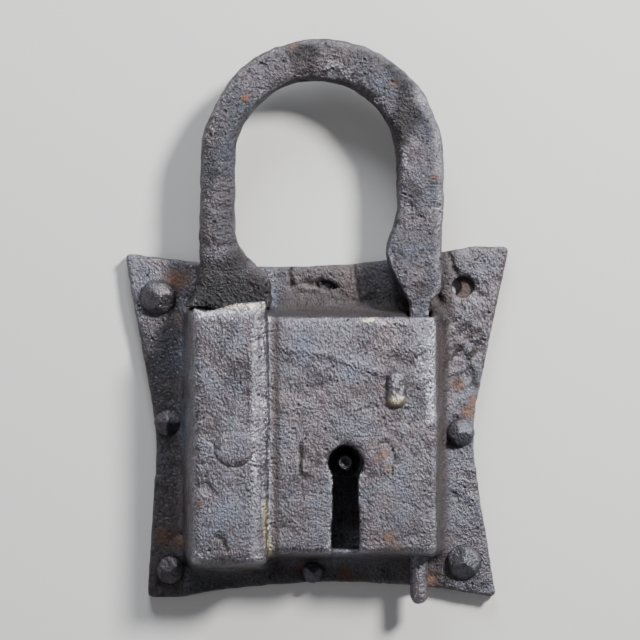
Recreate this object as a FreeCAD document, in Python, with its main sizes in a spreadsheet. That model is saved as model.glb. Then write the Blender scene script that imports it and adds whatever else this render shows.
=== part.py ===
"""A forged iron padlock: a raised casing riveted to a back plate, with a draw shackle and a key-thrown bolt.

The lock lies on its back plate. X runs across the face, Y runs up towards the shackle, and Z comes out of
the face. The origin is on the back of the back plate, in the middle of the case.
"""
import FreeCAD
import Part
import math
import os

import Sketcher

Vector = FreeCAD.Vector
Rotation = FreeCAD.Rotation
Placement = FreeCAD.Placement

# Driving sizes in millimetres and degrees: alias, value, what it is.
SIZES = [
    ("plate_thick", 2.2, "back plate"),
    ("sheet_thick", 2.0, "sheet of the raised casing"),
    ("draft_angle", 10.0, "lean of the raised walls"),
    ("box_right", 34.5, "foot of the right wall of the lock box"),
    ("box_top", 32.1, "foot of the top wall"),
    ("box_bottom", -37.0, "foot of the bottom wall"),
    ("box_height", 18.0, "face of the lock box above the back"),
    ("box_corner", 3.5, "plan radius of the box corners"),
    ("box_edge", 1.5, "rounding of the box face"),
    ("column_x", -24.4, "centre line of the shackle column"),
    ("column_width", 25.2, "column at its foot"),
    ("column_top", 33.2, "edge of the lip over the shackle's foot"),
    ("column_bottom", -40.2, "foot of the column's bottom wall"),
    ("column_height", 22.0, "face of the column above the back"),
    ("column_corner", 4.0, "plan radius of the column corners"),
    ("column_edge", 2.2, "rounding of the column face"),
    ("mouth_depth", 1.8, "side walls end this far below the lip"),
    ("flange_left", 6.9, "flange beside the column at the waist, before the waist is rounded"),
    ("flange_right", 6.94, "flange beside the box at the waist, before the waist is rounded"),
    ("flange_above", 11.1, "flange above the box, at mid width"),
    ("flange_below", 3.0, "flange below the column, at mid width"),
    ("waist_y", -2.8, "where both sides are narrowest"),
    ("waist_round", 60.0, "rounding of the waist"),
    ("left_hollow", 5.98, "how far the left side draws in from its corners"),
    ("right_hollow", 9.04, "how far the right side draws in from its corners"),
    ("left_lean", 3.08, "half of how much further out the left side is at the top"),
    ("right_lean", 1.77, "half of how much further out the right side is at the top"),
    ("top_hollow", 3.85, "how far the top edge curves in below the left corner"),
    ("bottom_hollow", 4.25, "how far the bottom edge curves in"),
    ("ear_stretch", 10.6, "straight stretch of the top edge beside the right corner"),
    ("foot_stretch", 8.2, "straight stretch of the bottom edge beside the left corner"),
    ("corner_lift", 1.5, "right top corner above the left one"),
    ("plate_corner", 1.2, "rounding of the plate corners"),
    ("set_gap", 0.05, "gap round a riveted shank or tenon"),
    ("run_gap", 0.3, "gap round a sliding piece"),
    ("eye_gap", 0.8, "gap round the bolt in the shackle's eye"),
    ("rest_gap", 0.3, "gap between pieces that stand apart"),
    ("keyhole_x", 7.3, "key axis"),
    ("keyhole_y", -10.0, "key axis"),
    ("keyhole_radius", 4.45, "round part of the keyhole"),
    ("slot_reach", 24.3, "key axis to the end of the slot"),
    ("slot_top_width", 5.8, "slot at the round part"),
    ("slot_end_width", 7.0, "slot at its end"),
    ("rivet_flare", 0.5, "countersunk tail of a case rivet"),
    ("lost_rivet_hole", 3.1, "worn hole in the casing where a rivet is lost"),
    ("lost_rivet_shift", 3.2, "how far the plate's hole stands off the casing's"),
    ("work_shift", 1.4, "shackle and bolt stand this far in front of the middle of the box"),
    ("toe_clearance", 0.8, "toe to the back of the box face"),
    ("bar_extra", 1.1, "shackle bar thicker than its toe, front to back"),
    ("bar_edge", 2.5, "rounding of the shackle bar"),
    ("left_leg", 9.5, "width of the left leg"),
    ("right_leg", 12.6, "width of the right leg"),
    ("left_leg_shift", -2.75, "left leg from the column's centre line"),
    ("leg_rise", 39.4, "box top to the start of the bow"),
    ("foot_width", 23.2, "shackle's foot over the column mouth"),
    ("knob_reach", 3.2, "knob on the right leg, past the leg's inner side"),
    ("toe_width", 5.2, "toe that enters the box"),
    ("toe_depth", 15.1, "toe below the box top"),
    ("shank_radius", 5.6, "round shank in the column"),
    ("catch_radius", 1.5, "pin across the shank that stops it at the guide"),
    ("catch_reach", 7.4, "shank axis to each end of that pin"),
    ("bolt_y", 23.0, "centre line of the bolt"),
    ("bolt_tall", 5.4, "bolt bar along Y"),
    ("bolt_thick", 5.0, "bolt bar along Z"),
    ("bolt_throw", 6.2, "travel of the bolt"),
    ("bolt_tail", -16.8, "left end of the drawn bolt"),
    ("talon_drop", 6.9, "talons below the bar"),
    ("talon_thick", 2.9, "talon along X"),
    ("bit_thick", 5.0, "key bit that the talons are spaced for"),
    ("bit_sweep", 13.0, "sweep of the bit at the talons' tips"),
    ("guide_thick", 3.0, "bolt guides along X"),
    ("guide_wall", 1.5, "metal beside the guides' windows"),
    ("guide_clearance", 0.5, "guides to the back of the box face"),
    ("bolt_guide_x", 21.0, "post beside the toe"),
    ("post_drop", 17.1, "post below the bolt's centre line"),
    ("tail_guide_x", -9.0, "guide at the bolt's tail"),
    ("stop_stud_x", 2.0, "stud in the bolt's slot"),
    ("stop_stud_radius", 1.3, "stud in the bolt's slot"),
    ("spring_thick", 0.9, "leaf spring"),
    ("spring_wide", 5.0, "leaf spring along Z"),
    ("spring_radius", 9.2, "bend of the leaf spring"),
    ("spring_stud_radius", 1.9, "stud that holds the spring"),
    ("bridge_left", 11.5, "key axis to the bridge's left leg"),
    ("bridge_right", 9.5, "key axis to the bridge's right leg"),
    ("bridge_tall", 8.4, "bridge along Y"),
    ("bridge_thick", 1.6, "bridge strip"),
    ("bridge_leg", 2.4, "bridge legs along X"),
    ("bridge_level", 8.0, "underside of the strip above the back"),
    ("bridge_hole", 3.9, "hole for the key pin"),
    ("ring_radius", 10.0, "round ward, outside"),
    ("ring_wall", 1.1, "round ward"),
    ("ring_rise", 2.8, "round ward above the back plate"),
    ("ring_gap", 8.0, "gap in the round ward for the bit"),
    ("pin_radius", 2.2, "key pin"),
    ("pin_top", 13.0, "tip of the key pin above the back"),
    ("pin_cup", 1.1, "cup in the tip of the key pin"),
    ("shank_guide_y", -5.7, "middle of the shank guide"),
    ("shank_guide_long", 8.0, "shank guide along Y"),
    ("foot_guide_long", 6.4, "foot guide along Y"),
    ("foot_guide_floor", 1.6, "closed end of the foot guide"),
    ("guide_rivet_radius", 2.8, "shank of the shank guide's rivet"),
    ("guide_rivet_head", 4.7, "flat head of that rivet"),
    ("guide_rivet_proud", 0.6, "height of that head"),
    ("foot_rivet_radius", 1.3, "shank of the foot guide's rivet"),
    ("foot_rivet_head", 2.0, "head of that rivet"),
    ("peg_radius", 2.4, "peg under the box"),
    ("peg_inset", 7.2, "peg from the box's right wall"),
    ("peg_level", 9.0, "peg above the back"),
    ("peg_reach", 11.6, "peg below the box"),
    ("peg_head", 3.5, "upset head of the peg inside the box"),
    ("tear_length", 4.2, "tear in the flange above the box"),
    ("tear_width", 1.5, "tear in the flange above the box"),
]

# Case rivets: name, head radius, head height, shank radius.
RIVETS = [
    ("top_left_rivet", 4.9, 3.9, 2.4),
    ("side_left_rivet", 3.7, 3.5, 1.4),
    ("bottom_left_rivet", 3.8, 3.0, 2.2),
    ("bottom_middle_rivet", 3.0, 3.0, 1.2),
    ("bottom_right_rivet", 4.8, 3.9, 2.4),
    ("side_right_rivet", 3.9, 3.6, 2.2),
]

# Lengths worked out from the driving sizes, so that each fit is written once.
DERIVED = [
    ("lean", "tan(draft_angle)"),
    ("wall_inset", "sheet_thick / cos(draft_angle)"),
    ("flange_top_z", "plate_thick + sheet_thick"),
    ("box_ceiling", "box_height - sheet_thick"),
    ("column_ceiling", "column_height - sheet_thick"),
    ("column_left", "column_x - column_width / 2"),
    ("column_right", "column_x + column_width / 2"),
    ("mouth_y", "column_top - mouth_depth"),
    ("shackle_level", "(box_ceiling + plate_thick) / 2 + work_shift"),
    ("toe_thick", "2 * (box_ceiling - toe_clearance - shackle_level)"),
    ("bar_thick", "toe_thick + bar_extra"),
    ("guide_top_z", "box_ceiling - guide_clearance"),
    ("guide_head_y", "box_top - wall_inset - (box_ceiling - plate_thick) * lean - rest_gap"),
    ("waist_left", "column_left - flange_left"),
    ("waist_right", "box_right + flange_right"),
    ("corner_top", "box_top + flange_above + top_hollow"),
    ("corner_bottom", "column_bottom - flange_below - bottom_hollow"),
    ("corner_top_left", "waist_left - left_hollow - left_lean"),
    ("corner_bottom_left", "waist_left - left_hollow + left_lean"),
    ("corner_top_right", "waist_right + right_hollow + right_lean"),
    ("corner_bottom_right", "waist_right + right_hollow - right_lean"),
    ("corner_right_y", "corner_top + corner_lift"),
    ("ear_left", "corner_top_right - ear_stretch"),
    ("foot_right_end", "corner_bottom_left + foot_stretch"),
    ("top_sag", "top_hollow + corner_lift / 2"),
    ("top_chord_sq", "(ear_left - corner_top_left)^2 + corner_lift^2"),
    ("top_radius", "top_chord_sq / (8 * top_sag) + top_sag / 2"),
    ("bottom_chord", "corner_bottom_right - foot_right_end"),
    ("bottom_radius", "bottom_chord^2 / (8 * bottom_hollow) + bottom_hollow / 2"),
    ("left_leg_x", "column_x + left_leg_shift"),
    ("leg_outer_left", "left_leg_x - left_leg / 2"),
    ("leg_inner_left", "left_leg_x + left_leg / 2"),
    ("leg_outer_right", "box_right - 0.75"),
    ("leg_inner_right", "leg_outer_right - right_leg"),
    ("bow_y", "box_top + leg_rise"),
    ("foot_y", "mouth_y + rest_gap"),
    ("toe_wall", "box_right - wall_inset - (shackle_level + toe_thick / 2 - plate_thick) * lean"),
    ("toe_right", "toe_wall - run_gap"),
    ("toe_left", "toe_right - toe_width"),
    ("toe_tip", "box_top - toe_depth"),
    ("shank_end", "foot_guide_top - foot_guide_long + foot_guide_floor + rest_gap"),
    ("column_floor_y", "column_bottom + wall_inset + (column_ceiling - plate_thick) * lean"),
    ("foot_guide_top", "column_floor_y + foot_guide_long + rest_gap"),
    ("catch_y", "foot_guide_top + catch_radius + rest_gap"),
    ("bolt_nose", "toe_left - 0.5"),
    ("bolt_low", "bolt_y - bolt_tall / 2"),
    ("bolt_high", "bolt_y + bolt_tall / 2"),
    ("talon_gap", "bit_sweep + bit_thick - bolt_throw"),
    ("talon_middle", "keyhole_x - bolt_throw / 2"),
    ("bolt_floor", "shackle_level - bolt_thick / 2"),
    ("side_left_x", "column_left - side_left_rivet_head - rest_gap"),
    ("side_right_x", "box_right + side_right_rivet_head + rest_gap"),
    ("bottom_left_swing", "column_corner + bottom_left_rivet_head + rest_gap"),
    ("lost_rivet_x", "box_right + 4.9"),
    ("lost_rivet_y", "corner_top - 9.6"),
]

# Where each case rivet stands: against the wall beside it, or in from its corner of the plate.
RIVET_PLACES = {
    "top_left_rivet": ("column_left - top_left_rivet_head - 1.7", "corner_top - 12.5"),
    "side_left_rivet": ("side_left_x", "0.4"),
    "bottom_left_rivet": (
        "column_left + column_corner - bottom_left_swing * cos(26)",
        "column_bottom + column_corner - bottom_left_swing * sin(26)",
    ),
    "bottom_middle_rivet": ("-1.5", "box_bottom - bottom_middle_rivet_head - rest_gap"),
    "bottom_right_rivet": ("box_right + bottom_right_rivet_head + 0.4", "box_bottom - 0.4"),
    "side_right_rivet": ("side_right_x", "-2.2"),
}

document = FreeCAD.newDocument("padlock")
sheet = document.addObject("Spreadsheet::Sheet", "dims")


def fill_sheet():
    """Write every driving size and every worked-out length into the sheet, each under its alias."""
    rows = [(name, str(value), note) for name, value, note in SIZES]
    for name, head_radius, head_height, shank_radius in RIVETS:
        rows.append((name + "_head", str(head_radius), "radius of the head"))
        rows.append((name + "_rise", str(head_height), "height of the head"))
        rows.append((name + "_shank", str(shank_radius), "radius of the shank"))
    for line, (name, value, note) in enumerate(rows, start=1):
        sheet.set("A%d" % line, note)
        sheet.set("B%d" % line, value)
        sheet.setAlias("B%d" % line, name)
    places = []
    for name, pair in RIVET_PLACES.items():
        places += [(name + "_x", pair[0]), (name + "_y", pair[1])]
    line = len(rows)
    for name, text in DERIVED + places:
        line += 1
        sheet.setAlias("B%d" % line, name)
    line = len(rows)
    for name, text in DERIVED + places:
        line += 1
        sheet.set("A%d" % line, name)
        sheet.set("B%d" % line, "=" + text)
    document.recompute()


def size(text):
    """The value of an expression on the sheet's aliases."""
    value = sheet.evalExpression(text)
    return float(getattr(value, "Value", value))


ALIASES = (
    [row[0] for row in SIZES + DERIVED]
    + [row[0] + part for row in RIVETS for part in ("_head", "_rise", "_shank", "_x", "_y")]
)


def on_sheet(text):
    """The same expression as another object of the document reads it: each alias behind the sheet's name."""
    words = []
    word = ""
    for letter in text + " ":
        if letter.isalnum() or letter == "_":
            word += letter
            continue
        words.append("dims." + word if word in ALIASES else word)
        words.append(letter)
        word = ""
    return "".join(words).strip()


def bind(item, prop, text):
    item.setExpression(prop, on_sheet(text))


def new_body(label):
    body = document.addObject("PartDesign::Body", label)
    body.Label = label
    return body


def new_sketch(body, name, role="XY_Plane", offset="0"):
    """A sketch on one of the body's own planes, moved along the plane's normal by an expression."""
    sketch = body.newObject("Sketcher::SketchObject", name)
    plane = [f for f in body.Origin.OriginFeatures if f.Role == role][0]
    sketch.AttachmentSupport = [(plane, "")]
    sketch.MapMode = "FlatFace"
    sketch.AttachmentOffset = Placement(Vector(0, 0, size(offset)), Rotation())
    bind(sketch, "AttachmentOffset.Base.z", offset)
    return sketch


def pin_point(sketch, item, end, x, y):
    """Hold one end of a sketch element at (x, y), which are expressions."""
    for kind, axis, text in (("DistanceX", -2, x), ("DistanceY", -1, y)):
        if abs(size(text)) < 1e-9:
            sketch.addConstraint(Sketcher.Constraint("PointOnObject", item, end, axis))
            continue
        number = sketch.addConstraint(Sketcher.Constraint(kind, -1, 1, item, end, size(text)))
        bind(sketch, "Constraints[%d]" % number, text)


def arc_middle(start, end, radius, side):
    """The middle of an arc that bulges to the left of start-to-end where side is 1, to the right where -1."""
    chord = end - start
    half = chord.Length / 2
    rise = radius - math.sqrt(max(radius * radius - half * half, 0.0))
    normal = Vector(-chord.y, chord.x, 0).normalize()
    return (start + end) * 0.5 + normal * (side * rise)


def draw(sketch, points):
    """A closed outline. Each point is (x, y) after a straight side, or (x, y, radius, side) after an arc.

    A radius of "half" is a half circle. Every point is held by its two expressions.
    """
    places = [Vector(size(p[0]), size(p[1]), 0) for p in points]
    ends = []
    for number, point in enumerate(points):
        start, end = places[number - 1], places[number]
        if len(point) == 2:
            item = sketch.addGeometry(Part.LineSegment(start, end))
        else:
            radius = (end - start).Length / 2 if point[2] == "half" else size(point[2])
            item = sketch.addGeometry(Part.Arc(start, arc_middle(start, end, radius, point[3]), end))
        first = 1 if (sketch.getPoint(item, 1) - start).Length < 1e-6 else 2
        ends.append((item, first, 3 - first))
    for number, point in enumerate(points):
        item, first, last = ends[number]
        after = ends[(number + 1) % len(points)]
        sketch.addConstraint(Sketcher.Constraint("Coincident", item, last, after[0], after[1]))
        pin_point(sketch, item, last, point[0], point[1])
    for number, point in enumerate(points):
        item, first, last = ends[number]
        if len(point) == 2:
            continue
        if point[2] == "half":
            sketch.addConstraint(Sketcher.Constraint("Horizontal", item, 3, item, last))
        else:
            rule = sketch.addConstraint(Sketcher.Constraint("Radius", item, size(point[2])))
            bind(sketch, "Constraints[%d]" % rule, point[2])
    return sketch


def draw_circle(sketch, x, y, radius):
    item = sketch.addGeometry(Part.Circle(Vector(size(x), size(y), 0), Vector(0, 0, 1), size(radius)))
    pin_point(sketch, item, 3, x, y)
    rule = sketch.addConstraint(Sketcher.Constraint("Radius", item, size(radius)))
    bind(sketch, "Constraints[%d]" % rule, radius)


def rectangle(left, right, low, high):
    return [(left, low), (right, low), (right, high), (left, high)]


def round_rectangle(left, right, low, high, radius):
    """A rectangle with rounded corners, for draw()."""
    side = -1
    return [
        ("%s + %s" % (left, radius), low),
        ("%s - %s" % (right, radius), low),
        (right, "%s + %s" % (low, radius), radius, side),
        (right, "%s - %s" % (high, radius)),
        ("%s - %s" % (right, radius), high, radius, side),
        ("%s + %s" % (left, radius), high),
        (left, "%s - %s" % (high, radius), radius, side),
        (left, "%s + %s" % (low, radius)),
        ("%s + %s" % (left, radius), low, radius, side),
    ][1:]


def add_pad(body, sketch, length, name, draft=False, both_ways=False, reverse=False):
    pad = body.newObject("PartDesign::Pad", name)
    pad.Profile = sketch
    pad.Length = size(length)
    bind(pad, "Length", length)
    pad.Midplane = both_ways
    pad.Reversed = reverse
    if draft:
        bind(pad, "TaperAngle", "-draft_angle")
    return settle(body, pad)


def add_pocket(body, sketch, length, name, upward=False, draft=False, both_ways=False):
    """Cut from the sketch against its normal, or along it where upward is set. It has to remove something."""
    before = body.Shape.Volume
    pocket = body.newObject("PartDesign::Pocket", name)
    pocket.Profile = sketch
    pocket.Length = size(length)
    bind(pocket, "Length", length)
    pocket.Midplane = both_ways
    pocket.Reversed = upward
    if draft:
        bind(pocket, "TaperAngle", "-draft_angle")
    settle(body, pocket)
    if before - body.Shape.Volume < 1e-3:
        raise RuntimeError("%s cut nothing" % name)
    return pocket


def settle(body, feature):
    body.Tip = feature
    document.recompute()
    if feature.Shape.isNull() or "Invalid" in feature.State or "Error" in feature.State:
        raise RuntimeError("%s failed: %s" % (feature.Label, feature.State))
    return feature


def round_edges(body, wanted, radius, name, kind="PartDesign::Fillet"):
    """Round, or chamfer, the edges of the body's tip that wanted() picks."""
    tip = body.Tip
    names = ["Edge%d" % n for n, edge in enumerate(tip.Shape.Edges, start=1) if wanted(edge)]
    if not names:
        raise RuntimeError("%s found no edge" % name)
    feature = body.newObject(kind, name)
    feature.Base = (tip, names)
    prop = "Radius" if kind.endswith("Fillet") else "Size"
    bind(feature, prop, radius)
    return settle(body, feature)


def spin(body, sketch, name, axis="Y"):
    """Revolve the sketch a full turn about the sketch's own vertical or horizontal axis."""
    feature = body.newObject("PartDesign::Revolution", name)
    feature.Profile = sketch
    feature.ReferenceAxis = (sketch, ["V_Axis" if axis == "Y" else "H_Axis"])
    feature.Angle = 360
    return settle(body, feature)


def part_box(label, low, high):
    """A Part::Box between two corners, each three expressions."""
    box = document.addObject("Part::Box", label)
    for side, axis, a, b in zip(("Length", "Width", "Height"), "xyz", low, high):
        bind(box, side, "(%s) - (%s)" % (b, a))
        bind(box, "Placement.Base." + axis, a)
    return box


def part_cylinder(label, x, y, radius, low, high):
    """A Part::Cylinder that stands along Z."""
    cylinder = document.addObject("Part::Cylinder", label)
    bind(cylinder, "Radius", radius)
    bind(cylinder, "Height", "(%s) - (%s)" % (high, low))
    for axis, text in zip("xyz", (x, y, low)):
        bind(cylinder, "Placement.Base." + axis, text)
    return cylinder


def part_join(label, *shapes):
    fuse = document.addObject("Part::MultiFuse", label)
    fuse.Shapes = list(shapes)
    fuse.Refine = True
    document.recompute()
    return fuse


def part_cut(label, base, tool):
    cut = document.addObject("Part::Cut", label)
    cut.Base = base
    cut.Tool = tool
    document.recompute()
    return cut


def at_level(edge, z, tolerance=1e-4):
    return all(abs(vertex.Z - z) < tolerance for vertex in edge.Vertexes)


# ---------------------------------------------------------------- case


def plate_outline():
    """The shared outline of back plate and casing: sides drawn in to a waist, hollow top and bottom edges."""
    hollow = 1
    return [
        ("waist_left", "waist_y"),
        ("corner_bottom_left", "corner_bottom"),
        ("foot_right_end", "corner_bottom"),
        ("corner_bottom_right", "corner_bottom", "bottom_radius", hollow),
        ("waist_right", "waist_y"),
        ("corner_top_right", "corner_right_y"),
        ("ear_left", "corner_right_y"),
        ("corner_top_left", "corner_top", "top_radius", hollow),
    ]


def is_upright(edge):
    if len(edge.Vertexes) != 2:
        return False
    a, b = (vertex.Point for vertex in edge.Vertexes)
    return abs(a.x - b.x) < 1e-6 and abs(a.y - b.y) < 1e-6


def is_waist_edge(edge):
    return is_upright(edge) and abs(edge.Vertexes[0].Y - size("waist_y")) < 1e-6


def is_corner_edge(edge):
    """An upright edge at one of the four corners of the outline."""
    corners = [("corner_top_left", "corner_top"), ("corner_bottom_left", "corner_bottom"),
               ("corner_bottom_right", "corner_bottom"), ("corner_top_right", "corner_right_y")]
    if not is_upright(edge):
        return False
    point = edge.Vertexes[0]
    return any(abs(point.X - size(x)) + abs(point.Y - size(y)) < 1e-4 for x, y in corners)


def round_outline(body, name):
    """Round the waist widely and the four corners a little."""
    round_edges(body, is_waist_edge, "waist_round", name + "_waist")
    round_edges(body, is_corner_edge, "plate_corner", name + "_corners")


def rivet_holes(sketch):
    for row in RIVETS:
        name = row[0]
        draw_circle(sketch, name + "_x", name + "_y", name + "_shank + set_gap")


def make_back_plate():
    """Flat plate. Its rivet holes are countersunk from the back, so that the hammered tails lie flush."""
    body = new_body("back_plate")
    outline = draw(new_sketch(body, "plate_outline"), plate_outline())
    add_pad(body, outline, "plate_thick", "plate")
    round_outline(body, "plate")
    holes = new_sketch(body, "plate_rivet_holes", offset="plate_thick")
    rivet_holes(holes)
    add_pocket(body, holes, "plate_thick", "plate_rivet_pockets")
    round_edges(body, is_back_rim, "rivet_flare", "plate_countersinks", "PartDesign::Chamfer")
    studs = new_sketch(body, "plate_stud_holes", offset="plate_thick")
    draw_circle(studs, "lost_rivet_x - lost_rivet_shift", "lost_rivet_y", "lost_rivet_hole - 0.5")
    draw_circle(studs, "keyhole_x", "keyhole_y", "pin_radius + set_gap")
    draw_circle(studs, "stop_stud_x", "bolt_y", "stop_stud_radius + set_gap")
    draw_circle(studs, SPRING_STUD[0], SPRING_STUD[1], "spring_stud_radius + set_gap")
    add_pocket(body, studs, "plate_thick", "plate_stud_pockets")
    for number, side in enumerate(("-", "+")):
        tenon = new_sketch(body, "tail_tenon_hole_%d" % number, offset="plate_thick")
        draw(tenon, tail_tenon(side, "set_gap"))
        add_pocket(body, tenon, "plate_thick", "tail_tenon_pocket_%d" % number)
    return body


def is_back_rim(edge):
    """A full circle on the back of the plate."""
    return isinstance(edge.Curve, Part.Circle) and len(edge.Vertexes) == 1 and at_level(edge, 0.0)


def make_front_casing():
    """One sheet, raised by hammering into a lock box and a taller column, with a flange all round."""
    body = new_body("front_casing")
    base = "plate_thick"
    outline = draw(new_sketch(body, "flange_outline", offset=base), plate_outline())
    add_pad(body, outline, "sheet_thick", "flange")
    round_outline(body, "flange")
    box = new_sketch(body, "box_foot", offset=base)
    draw(box, round_rectangle("column_x", "box_right", "box_bottom", "box_top", "box_corner"))
    add_pad(body, box, "box_height - plate_thick", "box", draft=True)
    round_edges(body, lambda e: at_level(e, size("box_height")), "box_edge", "box_face_edges")
    column = new_sketch(body, "column_foot", offset=base)
    column_rim = "column_top + (column_height - plate_thick) * lean"
    draw(column, round_rectangle("column_left", "column_right", "column_bottom", column_rim, "column_corner"))
    add_pad(body, column, "column_height - plate_thick", "column", draft=True)
    round_edges(body, lambda e: at_level(e, size("column_height")), "column_edge", "column_face_edges")
    hollow_casing(body)
    pierce_casing(body)
    return body


def hollow_casing(body):
    """Hollow the box and the column from the back, to the sheet's thickness."""
    base = "plate_thick"
    inside_box = new_sketch(body, "box_inside", offset=base)
    draw(inside_box, rectangle("column_x", "box_right - wall_inset", "box_bottom + wall_inset",
                               "box_top - wall_inset"))
    add_pocket(body, inside_box, "box_ceiling - plate_thick", "box_hollow", upward=True, draft=True)
    inside_column = new_sketch(body, "column_inside", offset=base)
    draw(inside_column, rectangle("column_left + wall_inset", "column_right - wall_inset",
                                  "column_bottom + wall_inset",
                                  "mouth_y + (column_ceiling - plate_thick) * lean + 0.1"))
    add_pocket(body, inside_column, "column_ceiling - plate_thick", "column_hollow", upward=True, draft=True)


def pierce_casing(body):
    """Open the column's mouth, the toe hole, the keyhole and every rivet and tenon hole."""
    mouth = new_sketch(body, "mouth_cut", offset="column_ceiling")
    draw(mouth, rectangle("column_left - 1", "column_right", "mouth_y", "corner_top"))
    add_pocket(body, mouth, "column_ceiling - flange_top_z", "mouth")

    toe = new_sketch(body, "toe_cut", offset="box_ceiling")
    draw(toe, rectangle("toe_left - run_gap", "toe_right + run_gap", "box_top - 6", "box_top + 2"))
    add_pocket(body, toe, "box_ceiling - flange_top_z", "toe_hole")

    over_face = "box_height + 1"
    through_face = "sheet_thick + 2"
    keyhole = new_sketch(body, "keyhole_cut", offset=over_face)
    draw(keyhole, keyhole_outline())
    add_pocket(body, keyhole, through_face, "keyhole")

    over_flange = "flange_top_z + 1"
    holes = new_sketch(body, "casing_rivet_holes", offset=over_flange)
    rivet_holes(holes)
    draw_circle(holes, "lost_rivet_x", "lost_rivet_y", "lost_rivet_hole")
    add_pocket(body, holes, "sheet_thick + 1", "casing_rivet_pockets")

    tear = new_sketch(body, "tear_cut", offset=over_flange)
    draw(tear, tear_outline())
    add_pocket(body, tear, "sheet_thick + 1", "tear")

    tenons = [
        ("bolt_guide", guide_tenon("set_gap")),
        ("bridge_left", bridge_tenon("left", "set_gap")),
        ("bridge_right", bridge_tenon("right", "set_gap")),
    ]
    for name, outline in tenons:
        cut = new_sketch(body, name + "_tenon_cut", offset=over_face)
        draw(cut, outline)
        add_pocket(body, cut, through_face, name + "_tenon_hole")

    studs = new_sketch(body, "column_rivet_cut", offset="column_height + 1")
    draw_circle(studs, GUIDE_RIVET[0], GUIDE_RIVET[1], "guide_rivet_radius + set_gap")
    draw_circle(studs, FOOT_RIVET[0], FOOT_RIVET[1], "foot_rivet_radius + set_gap")
    add_pocket(body, studs, through_face, "column_rivet_holes")

    peg = new_sketch(body, "peg_cut", role="XZ_Plane", offset="-(box_bottom + 8)")
    draw_circle(peg, "box_right - peg_inset", "peg_level", "peg_radius + set_gap")
    add_pocket(body, peg, "12", "peg_hole", upward=True)


def keyhole_outline():
    """Round hole with a slot below it that widens a little towards its end."""
    half_top = "slot_top_width / 2"
    half_end = "slot_end_width / 2"
    shoulder = "keyhole_y - sqrt(keyhole_radius^2 - (slot_top_width / 2)^2)"
    crown = "keyhole_y + keyhole_radius"
    side = 1
    return [
        ("keyhole_x + " + half_end, "keyhole_y - slot_reach"),
        ("keyhole_x + " + half_top, shoulder),
        ("keyhole_x + keyhole_radius", "keyhole_y", "keyhole_radius", -side),
        ("keyhole_x", crown, "keyhole_radius", -side),
        ("keyhole_x - keyhole_radius", "keyhole_y", "keyhole_radius", -side),
        ("keyhole_x - " + half_top, shoulder, "keyhole_radius", -side),
        ("keyhole_x - " + half_end, "keyhole_y - slot_reach"),
    ]


def tear_outline():
    """A short slanting split in the flange, between the shackle's legs."""
    middle_x, middle_y = "2.2", "box_top + 5.6"
    along, drop, half = "tear_length / 2", "0.5", "tear_width / 2"
    return [
        ("%s - %s" % (middle_x, along), "%s + %s" % (middle_y, drop)),
        ("%s - 0.4" % middle_x, "%s - %s" % (middle_y, half)),
        ("%s + %s" % (middle_x, along), "%s - %s - 0.2" % (middle_y, drop)),
        ("%s + 0.7" % middle_x, "%s + %s" % (middle_y, half)),
    ]


# ---------------------------------------------------------------- rivets


def make_case_rivet(name):
    """Domed head on the flange, shank through both sheets, tail flared flush with the back."""
    body = new_body(name)
    head, rise, shank = name + "_head", name + "_rise", name + "_shank"
    brim = "0.6"
    dome = "(%s^2 + (%s - %s)^2) / (2 * (%s - %s))" % (head, rise, brim, rise, brim)
    profile = new_sketch(body, name + "_profile", role="XZ_Plane")
    draw(profile, [
        (head, "flange_top_z"),
        (head, "flange_top_z + " + brim),
        ("0", "flange_top_z + " + rise, dome, -1),
        ("0", "0"),
        (shank + " + rivet_flare", "0"),
        (shank, "rivet_flare"),
        (shank, "flange_top_z"),
    ])
    spin(body, profile, name + "_turned")
    bind(body, "Placement.Base.x", name + "_x")
    bind(body, "Placement.Base.y", name + "_y")
    return body


def make_column_rivet(name, radius, head, proud, place):
    """Flat-headed rivet through the column's face into a guide behind it."""
    body = new_body(name)
    profile = new_sketch(body, name + "_profile", role="XZ_Plane")
    draw(profile, [
        (head, "column_height"),
        ("%s - 0.4" % head, "column_height + " + proud),
        ("0", "column_height + %s + 0.1" % proud),
        ("0", GUIDE_RIVET_END),
        (radius, GUIDE_RIVET_END),
        (radius, "column_height"),
    ])
    spin(body, profile, name + "_turned")
    bind(body, "Placement.Base.x", place[0])
    bind(body, "Placement.Base.y", place[1])
    return body


# ---------------------------------------------------------------- shackle


def flare_radius(across, along):
    """Radius of an arc that leaves a straight leg smoothly and ends this far across and along."""
    return "((%s)^2 + (%s)^2) / (2 * (%s))" % (across, along, across)


def bow_outline():
    """Front view of the forged bar: left foot, bow, right leg and its knob."""
    foot_left = "column_x - foot_width / 2"
    foot_right = "column_x + foot_width / 2"
    knob = "leg_inner_right - knob_reach"
    outward = 1
    shoulder = foot_right + " - 4.4"
    inner_flare = flare_radius("column_x + foot_width / 2 - 4.4 - leg_inner_left", "8.2")
    outer_flare = flare_radius("leg_outer_left - column_x + foot_width / 2", "15.0")
    return [
        (foot_right, "foot_y"),
        (foot_right, "foot_y + 8.0"),
        (shoulder, "foot_y + 12.3"),
        ("leg_inner_left", "foot_y + 20.5", inner_flare, outward),
        ("leg_inner_left", "bow_y"),
        ("leg_inner_right", "bow_y", "half", outward),
        ("leg_inner_right", "bow_y - 14.0"),
        (knob, "bow_y - 23.0"),
        (knob, "bow_y - 27.5"),
        ("toe_left", "box_top + 1.2"),
        ("toe_right", "box_top + 1.2"),
        ("leg_outer_right", "box_top + 4.4"),
        ("leg_outer_right", "bow_y"),
        ("leg_outer_left", "bow_y", "half", -outward),
        ("leg_outer_left", "foot_y + 15.0"),
        (foot_left, "foot_y", outer_flare, outward),
    ]


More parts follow.
